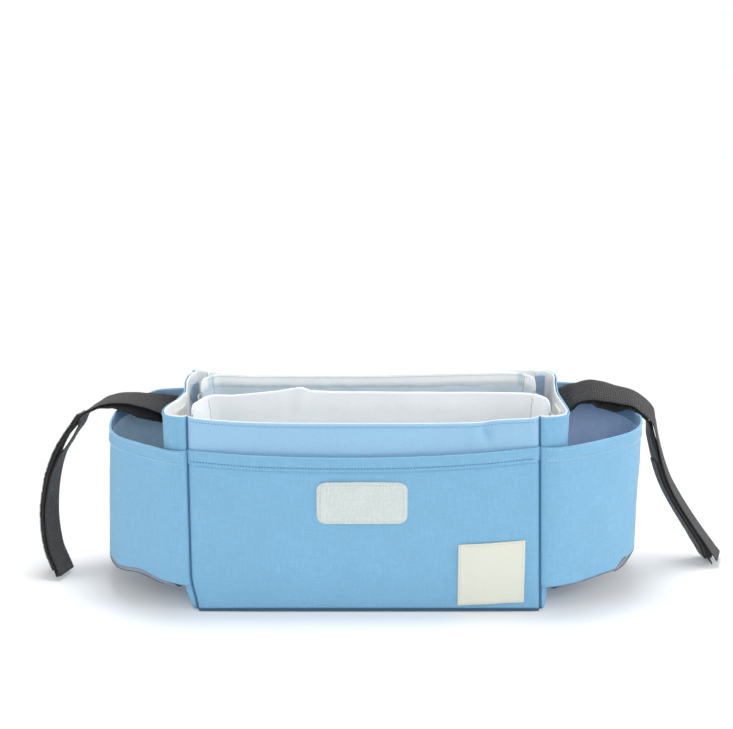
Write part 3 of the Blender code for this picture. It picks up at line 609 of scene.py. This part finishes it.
# Plan lines and walls of the body.
def end_line(z, columns, inset=0.0):
    """Plan line of the right end wall at one height, from the front seam to the back seam."""
    share = min(max(z / HEIGHT, 0.0), 1.0)
    bulge = blend(END_BULGE_FOOT, END_BULGE_TOP, share * (2.0 - share))
    seam_step = (LENGTH - BACK_LENGTH) / 2
    front = LENGTH / 2 + GAP
    back_end = BACK_LENGTH / 2 + GAP
    middle = [(front + out * bulge - seam_step * back, (back - 0.5) * DEPTH) for out, back in END_PLAN]
    points = [(front + SEAM_RUN, -DEPTH / 2)] + middle + [(back_end + SEAM_RUN, DEPTH / 2)]
    line = np.vstack([[(front, -DEPTH / 2)], smooth_line(points, columns - 2), [(back_end, DEPTH / 2)]])
    return inset_line(line, inset)


def end_grid(foot, inset, columns=96, levels=84):
    return np.array([np.column_stack([end_line(z, columns, inset), np.full(columns, z)])
                     for z in np.linspace(foot, HEIGHT, levels)])


def front_top(x):
    jog = smoothstep((x - 0.101) / 0.016) - smoothstep((x - 0.121) / 0.030)
    return HEIGHT - FRONT_SAG * (1.0 - (2.0 * x / LENGTH) ** 4) + 0.0013 * float(jog)


def back_top(x):
    """The back's rim sags at the middle and left and stands up at the right."""
    return float(np.interp(x, *BACK_RIM))


def front_lean(x, z):
    """How far back the front stands: it leans back above the pocket and has one soft dimple."""
    middle = 1.0 - np.abs(2.0 * x / LENGTH) ** 5
    lean = 0.0042 * middle * smoothstep((z - 0.142) / 0.046)
    dent = hump(x, DIMPLE_X, 0.0050) * hump(z, 0.169, 0.008)
    swelling = hump(x, DIMPLE_X - 0.011, 0.0060) * hump(z, 0.168, 0.009)
    return lean + 0.0036 * dent - 0.0016 * swelling


def lean_down(grid):
    """Lowers the rim of a wall that leans, as its cloth keeps its length."""
    x, _, z = np.moveaxis(grid.copy(), -1, 0)
    grid[..., 2] -= 0.364 * front_lean(x, z) * smoothstep((z - 0.150) / 0.03)


def wall_grid(half, columns, heights_at, y_at, facing):
    """Grid of a front (-1) or back (1) wall."""
    xs = np.linspace(-half, half, columns) * -facing
    z = np.stack([heights_at(x) for x in xs], axis=1)
    x = np.broadcast_to(xs, z.shape)
    return grid_of(x, y_at(x, z), z)


def lining_inset_at(z):
    """Depth of the lining's face in the wall: over the board below, and against the shell at the rim."""
    return blend(BOARDED_INSET, LINING_INSET, smoothstep((z - BOARD_TOP - GAP) / LINING_TURN))


def make_walls():
    def front_face(x, z):
        return -DEPTH / 2 + front_lean(x, z)

    face = wall_grid(LENGTH / 2, 150, lambda x: np.linspace(SHELL + GAP, front_top(x), 84), front_face, -1)
    lean_down(face)
    top = below_top(face)
    face[..., 1] -= 0.00045 * smoothstep((0.0036 - top) / 0.001) - 0.0003 * hump(top, 0.0030, 0.0008)
    # The front wall's paler cloth is a painted highlight.
    cloth("front_wall", seam_warp(face), SHELL, BLUE_PAINTED_HIGHLIGHT, "front_panel")

    board = wall_grid(LENGTH / 2 - 0.010, 60, lambda x: np.linspace(FLOOR_TOP, BOARD_TOP, 40),
                      lambda x, z: front_face(x, z) + LINING_INSET, -1)
    cloth("front_board_core", seam_warp(board), BOARD, FOAM, "front_board")

    back = wall_grid(BACK_LENGTH / 2, 140, lambda x: np.linspace(SHELL + GAP, back_top(x) - 0.0006, 80),
                     lambda x, z: DEPTH / 2, 1)
    back[..., 1] += 0.0004 * smoothstep((0.011 - below_top(back)) / 0.001)
    back[..., 1] += 0.0006 * wander(back, 22.0, 3)
    cloth("back_wall", seam_warp(back), SHELL, BLUE, "back_panel")

    for side, seed in (("left", 5), ("right", 6)):
        wall = end_grid(SHELL + GAP, 0.0)
        hem = 0.0004 * smoothstep((0.0042 - below_top(wall)) / 0.001)
        soft = 0.0005 * wander(wall, 30.0, seed) * off_ends(wall, 0.012)
        wall = wall + normals(wall) * (hem + soft)[..., None]
        cloth(side + "_end_wall", sewn(wall, side), SHELL, BLUE, side + "_end_panel")

        lining = end_grid(FLOOR_TOP, LINING_INSET + SLIT)
        lining[..., 2] += 0.0006 * smoothstep((lining[..., 2] - 0.17) / 0.01)
        folds = np.abs(wander(lining * (1.0, 1.0, 0.25), 60.0, seed + 3)) * 0.0008 * off_ends(lining, 0.010)
        lining = lining - normals(lining) * folds[..., None]
        cloth(side + "_end_lining_cloth", sewn(lining, side), LINING, WHITE, side + "_end_lining")

    lining = wall_grid(LENGTH / 2, 130, lambda x: np.linspace(FLOOR_TOP, front_top(x), 80),
                       lambda x, z: front_face(x, z) + lining_inset_at(z) + SLIT, -1)
    lean_down(lining)
    cloth("front_lining_cloth", seam_warp(lining), LINING, WHITE, "front_lining")

    lining = wall_grid(BACK_LENGTH / 2, 130, lambda x: np.linspace(FLOOR_TOP, back_top(x) + 0.0006, 80),
                       lambda x, z: DEPTH / 2 - lining_inset_at(z) - SLIT, 1)
    cloth("back_lining_cloth", seam_warp(lining), LINING, WHITE, "back_lining")


def make_bottom():
    inner = LINING + GAP
    for name, node, z, end_inset, face_inset, thick, material, held, on in (
            ("bottom_cloth", "bottom_panel", SHELL, 0.0, 0.0, SHELL, BLUE, "laid", "floor"),
            ("bottom_board_core", "bottom_board", SHELL + GAP + BOARD, 0.010, 0.008, BOARD, FOAM, None, None),
            ("bottom_lining_cloth", "bottom_lining", FLOOR_TOP + LINING, LINING_INSET + inner, BOARDED_INSET + inner,
             LINING, WHITE, "laid", "bottom_board_core")):
        limit = DEPTH / 2 - face_inset
        x, y = end_line(z, 61, end_inset).T[..., None]
        grid = grid_of(x * np.linspace(-1.0, 1.0, 60), np.clip(y, -limit, limit), z)
        cloth(name, seam_warp(grid), thick, material, node)
    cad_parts["back_board"].material_slots[0].material = FOAM


# Pocket, patch, label and seams of the front; the seams' dark strips are partly painted shade.
def pocket_top(x):
    side = blend(POCKET_LEFT, POCKET_RIGHT, x / LENGTH + 0.5)
    return side - POCKET_SAG * (1.0 - (2.0 * x / LENGTH) ** 2)


def pocket_face(x, z):
    side = smoothstep((LENGTH / 2 - np.abs(x)) / 0.055)
    return POCKET_PLANE - POCKET_SWELL * side * smoothstep(z / 0.070)


def hem_levels(foot, top, count):
    """Heights that are dense from the hem's lower edge up to the rim."""
    fine = np.linspace(top - HEM - 0.003, top, 44)
    return np.r_[np.linspace(foot, fine[0], count)[:-1], fine]


def hem_step(top, run=0.0008):
    """0 below the hem and 1 on it."""
    return smoothstep((HEM + 0.0004 - top) / run)


def to_rim(count, size):
    """Distance of each row or column from the nearer edge."""
    return np.minimum(np.arange(count), np.arange(count)[::-1]) * size / count


def facing_front(points):
    return points, np.tile([0.0, -1.0, 0.0], (len(points), 1))


def frame_stitches(name, grid, inset):
    """A sewn line just inside the edge of a patch."""
    last = -1 - inset
    points = np.concatenate([grid[inset, inset:last], grid[inset:last, last], grid[last, last:inset:-1],
                             grid[last:inset:-1, inset]])
    stitches(name + "_stitches", facing_front(points), LABEL_THREAD, length=0.0015, radius=0.00028)


def make_front_pocket():
    grid = wall_grid(LENGTH / 2, 156, lambda x: hem_levels(GAP, pocket_top(x), 90), pocket_face, -1)
    top = below_top(grid)
    soft = wander(grid, 18.0, 11) * 0.0009 + wander(grid, 55.0, 12) * 0.00025
    room = smoothstep((LENGTH / 2 - np.abs(grid[..., 0])) / 0.02) * smoothstep(grid[..., 2] / 0.02)
    grid[..., 1] -= soft * room * smoothstep(top / 0.012) + 0.0012 * hem_step(top, 0.0007)
    grid[..., 1] += 0.0006 * hump(top, HEM + 0.0010, 0.0009) + 0.00045 * hump(top, HEM - 0.0030, 0.0007)
    cloth("front_pocket_cloth", seam_warp(grid), SHELL + 0.0007 * hem_step(top), BLUE, "front_pocket")
    hem = path_below_top("front_pocket_cloth", HEM - 0.0030, 0.012)
    stitches("pocket_hem_stitches", hem, BLUE_THREAD, length=0.0015, radius=0.00055)
    stitches("front_top_stitches", path_below_top("front_wall", 0.0030, 0.012), BLUE_THREAD, radius=0.00030)


def make_hook_patch():
    rows, columns = 42, 80
    z = np.linspace(-0.5, 0.5, rows)[:, None] * PATCH_HEIGHT
    over = np.maximum(np.abs(z) - (PATCH_HEIGHT / 2 - PATCH_CORNER), 0.0)
    reach = PATCH_WIDTH / 2 - PATCH_CORNER + np.sqrt(np.maximum(PATCH_CORNER ** 2 - over ** 2, 0.0))
    x, z = reach * np.linspace(-1.0, 1.0, columns) + PATCH_X, z + PATCH_Z
    rim = np.minimum(to_rim(rows, PATCH_HEIGHT)[:, None], to_rim(columns, PATCH_WIDTH))
    grid = grid_of(x, pocket_face(x, z) - GAP - TAPE - 0.0007 * smoothstep(rim / 0.0022), z)
    frame_stitches("hook_patch", grid, 3)
    cloth("hook_patch_cloth", grid, 0.0016, CREAM_HOOK, "hook_patch")


def make_label():
    along = steps_to(34)
    x = LENGTH / 2 - LABEL_SEAM_GAP - LABEL_WIDTH * (1.0 - along)
    z = LABEL_LOW + LABEL_RISE * along + LABEL_HEIGHT * along[:, None]
    grid = grid_of(x, pocket_face(x, z) - GAP - 0.0009, z)
    grid[..., 1] -= 0.0006 * np.abs(wander(grid, 45.0, 21))
    frame_stitches("label", grid, 1)
    cloth("label_cloth", grid, LABEL_FABRIC, LABEL, "label")


def make_seams(side):
    """Dark strips down a front and a back corner: the sewn seam, darkened with painted shade of its groove."""
    edge = LENGTH / 2 if side == "right" else -LENGTH / 2
    z = np.linspace(0.0012, HEIGHT + 0.0003, 140)[:, None]
    face = blend(POCKET_PLANE, -DEPTH / 2, smoothstep((z - pocket_top(edge)) / 0.0008))
    y = face + 0.0021 + FOOT_DRAW * pinch(z, 0.0, FOOT_DRAW_HEIGHT)
    grid = grid_of(edge + np.linspace(-0.0005, 0.0005, 7), y, z)
    cloth(side + "_front_seam", lean_warp(grid), 0.0004, SEAM_AND_SHADE)

    x = np.linspace(BACK_LENGTH / 2 + 0.0013, BACK_LENGTH / 2 - 0.0012, 9)
    grid = grid_of(x, DEPTH / 2 + 0.0006, np.linspace(0.0016, HEIGHT - 0.0030, 120)[:, None])
    cloth(side + "_back_seam", sewn(grid, side), 0.0004, SEAM_AND_SHADE)


def make_foot_seam():
    """The sewn edge along the front's foot, which swells out a little over the floor; its dark colour is partly the
    seam's own and partly painted contact shadow.
    """
    forward, heights = (np.array(values)[:, None] for values in FOOT_SEAM_SECTION)
    x = np.linspace(-LENGTH / 2 + 0.0012, LENGTH / 2 - 0.0012, 160)
    swell = 0.55 + 0.45 * (1.0 - (2.0 * x / LENGTH) ** 4)
    grid = grid_of(x, POCKET_PLANE - SLIT - forward * swell, heights * (0.8 + 0.2 * swell))
    cloth("front_foot_seam", lean_warp(grid), 0.0003, FOOT_SEAM_AND_SHADOW)


# Cup pockets.
def cup_line(side, share, columns):
    reach = blend(CUP_REACH_FOOT[side], CUP_REACH_TOP[side], share)
    outer = DEPTH / 2 + GAP + SHELL
    front = LENGTH / 2 + GAP
    middle = [(front + out * reach, (2.0 * back - 1.0) * outer) for out, back in CUP_PLAN]
    line = smooth_line([(front + SEAM_RUN, -outer)] + middle, columns - 2)
    return np.vstack([[(front, -outer)], line, [(BACK_LENGTH / 2 + GAP, outer)]])


def make_cup(side, seed):
    columns, levels = 170, 80
    along = steps_to(columns)
    feet, rims = (np.array([between(line[side], place) for place in along]) for line in (CUP_FOOT, CUP_RIM))
    grid = np.array([np.column_stack([cup_line(side, share, columns), blend(feet, rims, share)])
                     for share in steps_to(levels)])
    if side == "right":
        notch = 0.0042 * hump(along, 0.335, 0.028)
        grid[..., 2] += notch * (1.0 - smoothstep((grid[..., 2] - feet) / 0.030))
    top = below_top(grid)
    away = off_ends(grid, 0.015)
    soft = wander(grid * (1.0, 1.0, 0.45), 26.0, seed) * 0.0010 + wander(grid, 70.0, seed + 4) * 0.0002
    raised = soft * away + 0.0007 * hem_step(top) - 0.0003 * hump(top, HEM - 0.0012, 0.0007)
    grid = sewn(grid + normals(grid) * raised[..., None], side)
    thickness = SHELL + 0.0006 * hem_step(top)
    room = away * smoothstep((top - HEM) / 0.004)
    if side == "left":
        thickness, room = thickness[:, ::-1], room[:, ::-1]
    folds = np.abs(wander(grid * (1.0, 1.0, 0.12), 95.0, seed + 13)) * 0.0011
    cloth(side + "_cup_cloth", grid, thickness + folds * room, BLUE, side + "_cup_band",
          COATED_WITH_PAINTED_LIGHT[side])
    for part, depth, length, radius in (("hem", HEM - 0.0012, 0.0018, 0.00058), ("rim", 0.0014, 0.0015, 0.00040)):
        path = path_below_top(side + "_cup_cloth", depth, 0.02)
        stitches(f"{side}_cup_{part}_stitches", path, PALE_THREAD, length=length, radius=radius)


def make_cup_base(side, seed):
    """The cup's floor, which hangs from the band's foot and turns up inside it."""
    rows, columns, first, last = 44, 90, 0.06, 0.92
    outer = resample(cup_line(side, 0.0, 200)[int(first * 200):int(last * 200)], columns)
    seam = CUP_FOOT[side][0][1]
    inner = inset_line(resample(end_line(seam, 90)[6:-10], columns), -GAP)
    along = np.linspace(first, last, columns)
    feet = np.array([between(CUP_FOOT[side], place) for place in along]) - GAP - SHELL
    share = steps_to(rows)[:, None]
    sag = CUP_BASE_SAG * np.sin(math.pi * share) + np.interp(along, *CUP_LIP[side]) * smoothstep(share / 0.5)
    x, y = np.moveaxis(blend(inner, outer, share[..., None]), -1, 0)
    base = grid_of(x, y, blend(seam - GAP - SHELL, feet, share) - sag)
    base[..., 2] += wander(base, 45.0, seed) * 0.0008 * (1.0 - share)

    edge = base[-1]
    edge_in = inset_line(edge[:, :2], 0.0016)
    rims = []
    for number, up in enumerate((0.0006, 0.0014, 0.0024), 1):
        z = edge[:, 2] + (feet + 0.0012 - edge[:, 2]) * up / 0.0024 + 0.0003 * up
        rims.append(np.column_stack([blend(edge[:, :2], edge_in, 0.35 * number), z]))
    cloth(side + "_cup_base_cloth", sewn(np.concatenate([base, rims]), side), SHELL, BASE_GREY,
          side + "_cup_base")
    # A dark line along part of the base's lower edge.
    line = sewn(edge[None] - np.array([0.0, 0.0, 0.0004]), side)[0][DARK_EDGE_RUN[side]]
    stitches(side + "_cup_base_dark_edge", facing_front(line), DARK_EDGE, 0.0030, 0.0030, 0.00045, 0.6)


# Dividers and their tapes.
def divider_line(half_length, plane, folds):
    left = [(-half_length + inset, plane - forward) for inset, forward in folds["left"]]
    right = [(half_length - inset, plane - forward) for inset, forward in reversed(folds["right"])]
    return left + [(0.0, plane)] + right


def divider_grid(line, top_at, levels, foot=INNER_FLOOR):
    foot_scale = (LENGTH / 2 - 0.006) / max(abs(line[0][0]), abs(line[-1][0]))
    tops = np.array([top_at(share) for share in steps_to(DIVIDER_COLUMNS)])
    grid = []
    for level in steps_to(levels):
        scale = blend(foot_scale, 1.0, blend(foot, tops.max(), level) / tops.max())
        plan = smooth_line([(x * scale, y) for x, y in line], DIVIDER_COLUMNS)
        grid.append(np.column_stack([plan, blend(foot, tops, level)]))
    return np.array(grid)


def make_divider(name, line, top_at, seams, seed):
    """A pad about a middle surface, thin at its edges and at its sewn lines."""
    grid = divider_grid(line, top_at, 84)
    row, top = travelled(grid, 1), below_top(grid)
    length = row[:, -1:]
    edge = np.minimum(np.minimum(row, length - row), top)
    thick = PADDING * (0.28 + 0.72 * smoothstep(edge / 0.016) ** 0.7)
    for seam in seams:
        thick *= 1.0 - 0.55 * hump(row, length * seam, 0.0011)
    middle = grid.copy()
    middle[..., 1] += wander(grid, 16.0, seed) * 0.0012 + wander(grid, 50.0, seed + 3) * 0.0003
    if name == "front_divider":
        x, _, z = np.moveaxis(grid, -1, 0)
        ridge = hump(x, -0.058, 0.0065) * smoothstep((z - 0.145) / 0.035)
        hollow = hump(x, 0.35 * (z - 0.186) - 0.050, 0.016) * smoothstep((z - 0.120) / 0.05)
        middle[..., 1] += 0.0022 * hollow - 0.0012 * ridge
    else:
        thick *= 1.0 - 0.5 * hump(top, 0.0017, 0.0010)
        ledge = 0.0092 + 0.0011 * wander(grid * (1.0, 0.0, 0.0), 75.0, 47)
        middle[..., 1] += 0.0026 * smoothstep((top - ledge) / 0.0022)
    middle = seam_warp(middle)
    half = normals(middle) * (thick / 2)[..., None]
    pad = name + "_pad"
    item = shell(pad, middle + half, middle - half, PAD if name == "front_divider" else PAD_REAR, name, round_rim=0.5)

    if name == "rear_divider":
        stitches("rear_divider_hem_stitches", path_below_top(pad, 0.0022, 0.04), BEIGE_THREAD, radius=0.00026)
    face, facing = GRIDS[pad]
    drop, run = below_top(face), travelled(face, 1)[-1]
    for side in ("left", "right"):
        for part, inward, depth, length in (("fold", seams[0] * run[-1], 0.030, 0.0016),
                                            ("edge", 0.0022, 0.026, 0.0020)):
            column = int(np.argmin(np.abs(run - (run[-1] - inward if side == "right" else inward))))
            rows = (drop[:, column] > 0.0015) & (drop[:, column] < depth)
            path = face[rows, column], facing[rows, column]
            stitches(f"{side}_{name}_{part}_stitches", path, BROWN_THREAD, 0.0024, length, 0.00034)


def corner_drop(corner, radius):
    """How far a rounded top corner lies below the square one."""
    return radius - math.sqrt(radius ** 2 - max(radius - corner, 0.0) ** 2)


def make_dividers():
    def front_top_at(share):
        radius = 0.0050 if share < 0.5 else 0.0075
        return np.interp(blend(-0.176, 0.180, share), *FRONT_RIM) - corner_drop(min(share, 1.0 - share) * 0.355, radius)

    def rear_top_at(share):
        return np.interp(blend(-0.167, 0.167, share), *REAR_RIM) - corner_drop(min(share, 1.0 - share) * 0.335, 0.006)

    front = divider_line(LENGTH / 2, 0.0, FRONT_DIVIDER_FOLDS)
    make_divider("front_divider", front, front_top_at, (0.082, 0.918), 41)
    rear = divider_line(BACK_LENGTH / 2, REAR_PLANE, REAR_DIVIDER_FOLDS)
    make_divider("rear_divider", rear, rear_top_at, (0.062, 0.938), 43)
    for name, line, top in (("front_divider", front, FRONT_DIVIDER_TOP), ("rear_divider", rear, REAR_DIVIDER_TOP)):
        full = divider_grid(line, lambda share: top - 0.0135, 60, 0.050)
        count = max(int(TAB_WIDTH / travelled(full, 1)[0, -1] * DIVIDER_COLUMNS), 6)
        for side, part in (("left", full[:, :count]), ("right", full[:, -count:])):
            grid = np.stack([resample(row, 14) for row in part])
            face = seam_warp(grid - normals(grid) * (PADDING / 2 + GAP))
            node = f"{side}_{name}_hook"
            cloth(node + "_tape", face, TAPE, CREAM_HOOK, node)


def lay_tape(side, name, grid, pile, material, node=None):
    """Lays a strip on the lining inside an end wall: a loop tape, and a strip of painted shade."""
    inner = grid - normals(grid) * np.broadcast_to(TAPE + pile, grid.shape[:2])[..., None]
    item = shell(side + name, sewn(grid, side), sewn(inner, side), material, node)


def make_loop_tapes(side):
    """The loop tape on the lining, and a strip of painted shade on the lining beside the rear divider's tab."""
    columns, inset = 16, LINING_INSET + LINING + GAP
    low = -DEPTH / 2 + LOOP_TAPE_CENTRE - LOOP_TAPE_WIDTH / 2
    grid = []
    for z in np.linspace(LOOP_TAPE_FOOT, HEIGHT - LOOP_TAPE_DROP, 60):
        line = end_line(z, 240, inset)
        part = resample(line[(line[:, 1] >= low) & (line[:, 1] <= low + LOOP_TAPE_WIDTH)], columns)
        grid.append(np.column_stack([part, np.full(columns, z)]))
    grid = np.array(grid)
    lay_tape(side, "_loop_tape_cloth", grid, np.abs(wander(grid, 900.0, 51)) * 0.0004, CREAM_LOOP, side + "_loop_tape")

    # A strip that stands in for the shade between the rear divider's tab and the lining: painted shade.
    low, high, foot, top = REAR_PAINTED_SHADE[side]
    grid = []
    for z in np.linspace(foot, top, 24):
        line = end_line(z, 240, inset)
        lens = 0.45 + 0.55 * math.sin(math.pi * min((top - z) / (top - foot) + 0.08, 1.0) ** 0.8)
        y = np.linspace(high - (high - low) * (lens if side == "left" else 1.0), high, columns)
        grid.append(np.column_stack([np.interp(y, line[:, 1], line[:, 0]), y, np.full(columns, z)]))
    lay_tape(side, "_rear_painted_shade_strip", np.array(grid), 0.0, PAINTED_SHADE_BLUE)


# Straps.
def strap_frames(stations, columns):
    """Centre, width direction and outward normal along both webbings of a right pair."""
    stations = np.array(stations) / STATION_UNITS
    centres, traits = stations[:, :3], stations[:, 3:]
    line = smooth_line(centres, columns)
    knots = travelled(centres)
    outer, inner = [], []
    for index in range(columns):
        run = unit(line[min(index + 1, columns - 1)] - line[max(index - 1, 0)])
        here = between(list(zip(knots, traits)), knots[-1] * index / (columns - 1))
        lean, drop, turn = here[:3], here[3], math.radians(here[4])
        width = unit(lean - run * lean.dot(run))
        facing = np.cross(run, width)
        spot = np.array([LENGTH / 2, DEPTH / 2, 0.0]) + line[index]

        def turned(vector):
            return (vector * math.cos(turn) + np.cross(run, vector) * math.sin(turn)
                    + run * run.dot(vector) * (1.0 - math.cos(turn)))

        outer.append((spot, width, facing))
        inner.append((spot - facing * drop, turned(width), turned(facing)))
    return np.array(outer), np.array(inner)


def strap_grid(frames, width, height, across=15, serrate=0.0):
    """Grid of a webbing's face at a height over its middle plane."""
    spots, sides, facings = np.moveaxis(frames, 1, 0)
    shares = np.linspace(-0.5, 0.5, across)[:, None]
    teeth = np.where(np.abs(shares) == 0.5, 2.0 * serrate * np.sin(np.arange(len(frames)) * 2.1), 0.0)
    return spots + sides * (shares * (width + teeth))[..., None] + facings * height


def strip_run(frames, extra=0.0):
    """The columns of the strip at a webbing's free end."""
    from_end = travelled(frames[::-1, 0])
    first = len(frames) - int(np.argmax(from_end > STRIP_END + STRIP_LENGTH + extra))
    return slice(first, len(frames) - int(np.argmax(from_end >= STRIP_END)))


def fibres(name, grid, facing, count, length, seed):
    """Short hooked hairs standing out of a pile tape."""
    pick = np.random.default_rng(seed)
    rows, columns = grid.shape[:2]
    vertices, faces = [], []
    for number in range(count):
        row, column = pick.uniform(0, rows - 1.001), pick.uniform(0, columns - 1.001)
        low, left = int(row), int(column)
        root = blend(grid[low, left], grid[low + 1, left + 1], (row - low + column - left) / 2)
        out = unit(facing[low, left] + pick.normal(0.0, 0.45, 3))
        across = unit(np.cross(out, pick.normal(0.0, 1.0, 3)))
        other = np.cross(out, across)
        reach = length * pick.uniform(0.6, 1.2)
        base = len(vertices)
        for angle in np.arange(3) * 2.0 * math.pi / 3:
            vertices.append(root + (across * math.cos(angle) + other * math.sin(angle)) * 0.00016)
        vertices.append(root + out * reach + across * reach * 0.25)
        faces += [(base + a, base + b, base + c) for a, b, c in ((2, 1, 0), (0, 1, 3), (1, 2, 3), (2, 0, 3))]
    dress(add_mesh(name, [(x, y, max(z, 0.0003)) for x, y, z in vertices], faces, [PILE]))


def lay_web(side, name, grid, half, material, node, round_rim):
    """A webbing or a strip about its middle grid."""
    reach = normals(grid) * np.broadcast_to(half, grid.shape[:2])[..., None]
    item = shell(side + name, on_side(grid + reach, side), on_side(grid - reach, side), material, side + node,
                 round_rim=round_rim)


def make_strap(side, stations, extra, seed):
    """Both webbings and the pile tapes at their free ends: the left loop strip faces out, the right one in."""
    outer, inner = (frames[4:] for frames in strap_frames(stations, 210))
    rest = WEBBING / 2 + GAP
    half = np.full((13, len(outer)), WEBBING / 2)
    half[[0, -1]], half[[1, -2]] = WEBBING * 0.28, WEBBING * 0.44
    for layer, frames in (("_strap_outer", outer), ("_strap_inner", inner)):
        grid = strap_grid(frames, STRAP_WIDTH, 0.0, 13, 0.00012)
        grid[..., 2] = np.maximum(grid[..., 2], 0.0009)
        lay_web(side, layer + "_web", grid, half, WEB, layer, 0.5)

    run = strip_run(outer, extra)
    if side == "left":
        low = strap_grid(outer[run], 0.0225, rest)
        high = low + normals(low) * (0.0012 + 0.0003 * np.abs(wander(low, 900.0, 61)))[..., None]
        hairs, out = high, normals(high)
    else:
        slit = outer[run, 2] * (0.0022 * (1.0 - smoothstep(np.arange(run.stop - run.start) / 30.0)))[:, None]
        high = strap_grid(outer[run], 0.0215, -rest) - slit
        low = strap_grid(inner[run], 0.0215, rest)
        hairs, out = strap_grid(outer[run], 0.0225, -rest - 0.001) - slit, -normals(high)
    item = shell(side + "_loop_strip_tape", on_side(high, side), on_side(low, side), PILE, side + "_loop_strip",
                 round_rim=0.4)
    hairs, out = on_side(hairs, side), on_side(out, side)
    fibres(side + "_loop_pile", hairs, out, 5200, 0.0018, seed)
    for place, rows, way in (("front", slice(0, 2), -1.0), ("back", slice(-2, None), 1.0)):
        edge = hairs[rows]
        aside = np.repeat(unit(edge[1:] - edge[:1]) * way, 2, axis=0)
        fibres(f"{side}_loop_pile_{place}", edge, aside + 0.8 * out[rows], 1500, 0.0017, 73)

    height = (rest + TAPE / 2) * (1.0 if side == "left" else -1.0)
    lay_web(side, "_hook_strip_tape", strap_grid(inner[strip_run(inner)], STRIP_WIDTH, height, 13), TAPE / 2, PILE,
            "_hook_strip", 0.4)


# Studio.
def make_floor():
    """A pale floor that fades to white away from the part, as the photo's background does."""
    material, graph, _ = new_material("floor")
    graph.tree.nodes.clear()
    seen = graph.seen()
    diffuse = graph.add("BsdfDiffuse", {"Color": (0.88, 0.89, 0.90, 1.0)})
    glow = graph.add("Emission", {"Color": tone(WHITE_LIGHT), "Strength": graph.times(seen, 0.04)})
    white = graph.add("Emission", {"Color": tone(WHITE_LIGHT), "Strength": 1.0})
    from_part = graph.add("VectorMath", {0: graph.add("TexCoord", output="Object")}, "Value", operation="LENGTH")
    away = graph.add("MapRange", {"Value": from_part, "From Min": FLOOR_FADE[0], "From Max": FLOOR_FADE[1]},
                     interpolation_type="SMOOTHSTEP")
    surface = graph.add("MixShader", {0: graph.times(away, seen),
                                      1: graph.add("AddShader", {0: diffuse, 1: glow}), 2: white})
    graph.add("OutputMaterial", {"Surface": surface})
    corners = [(x * FLOOR_REACH, y * FLOOR_REACH, 0.0) for x, y in ((-1, -1), (1, -1), (1, 1), (-1, 1))]
    add_mesh("floor", corners, [(0, 1, 2, 3)], [material])


def make_world():
    world = bpy.data.worlds.new("studio")
    bpy.context.scene.world = world
    world.use_nodes = True
    graph = Graph(world.node_tree)
    graph.tree.nodes.clear()
    ambient = graph.add("Background", {"Color": (0.96, 0.98, 1.0, 1.0), "Strength": AMBIENT})
    white = graph.add("Background", {"Color": tone(WHITE_LIGHT), "Strength": 1.0})
    graph.add("OutputWorld", {"Surface": graph.add("MixShader", {0: graph.seen(), 1: ambient, 2: white})})


def make_lamps():
    for name, location, target, size, power in LAMPS:
        data = bpy.data.lights.new(name, "AREA")
        data.shape = "RECTANGLE"
        data.size, data.size_y = size
        data.energy = power
        item = bpy.data.objects.new(name, data)
        bpy.context.scene.collection.objects.link(item)
        item.location = location
        item.rotation_euler = (Vector(target) - Vector(location)).to_track_quat("-Z", "Y").to_euler()


make_walls()
make_bottom()
make_front_pocket()
make_hook_patch()
make_label()
make_foot_seam()
for each, cup_seed in (("left", 31), ("right", 32)):
    make_seams(each)
    make_cup(each, cup_seed)
    make_cup_base(each, cup_seed + 9)
    make_loop_tapes(each)
make_dividers()
make_strap("left", LEFT_STRAP, 0.042, 71)
make_strap("right", RIGHT_STRAP, 0.030, 72)
make_floor()
make_world()
make_lamps()

bpy.context.scene.view_settings.view_transform = "Standard"
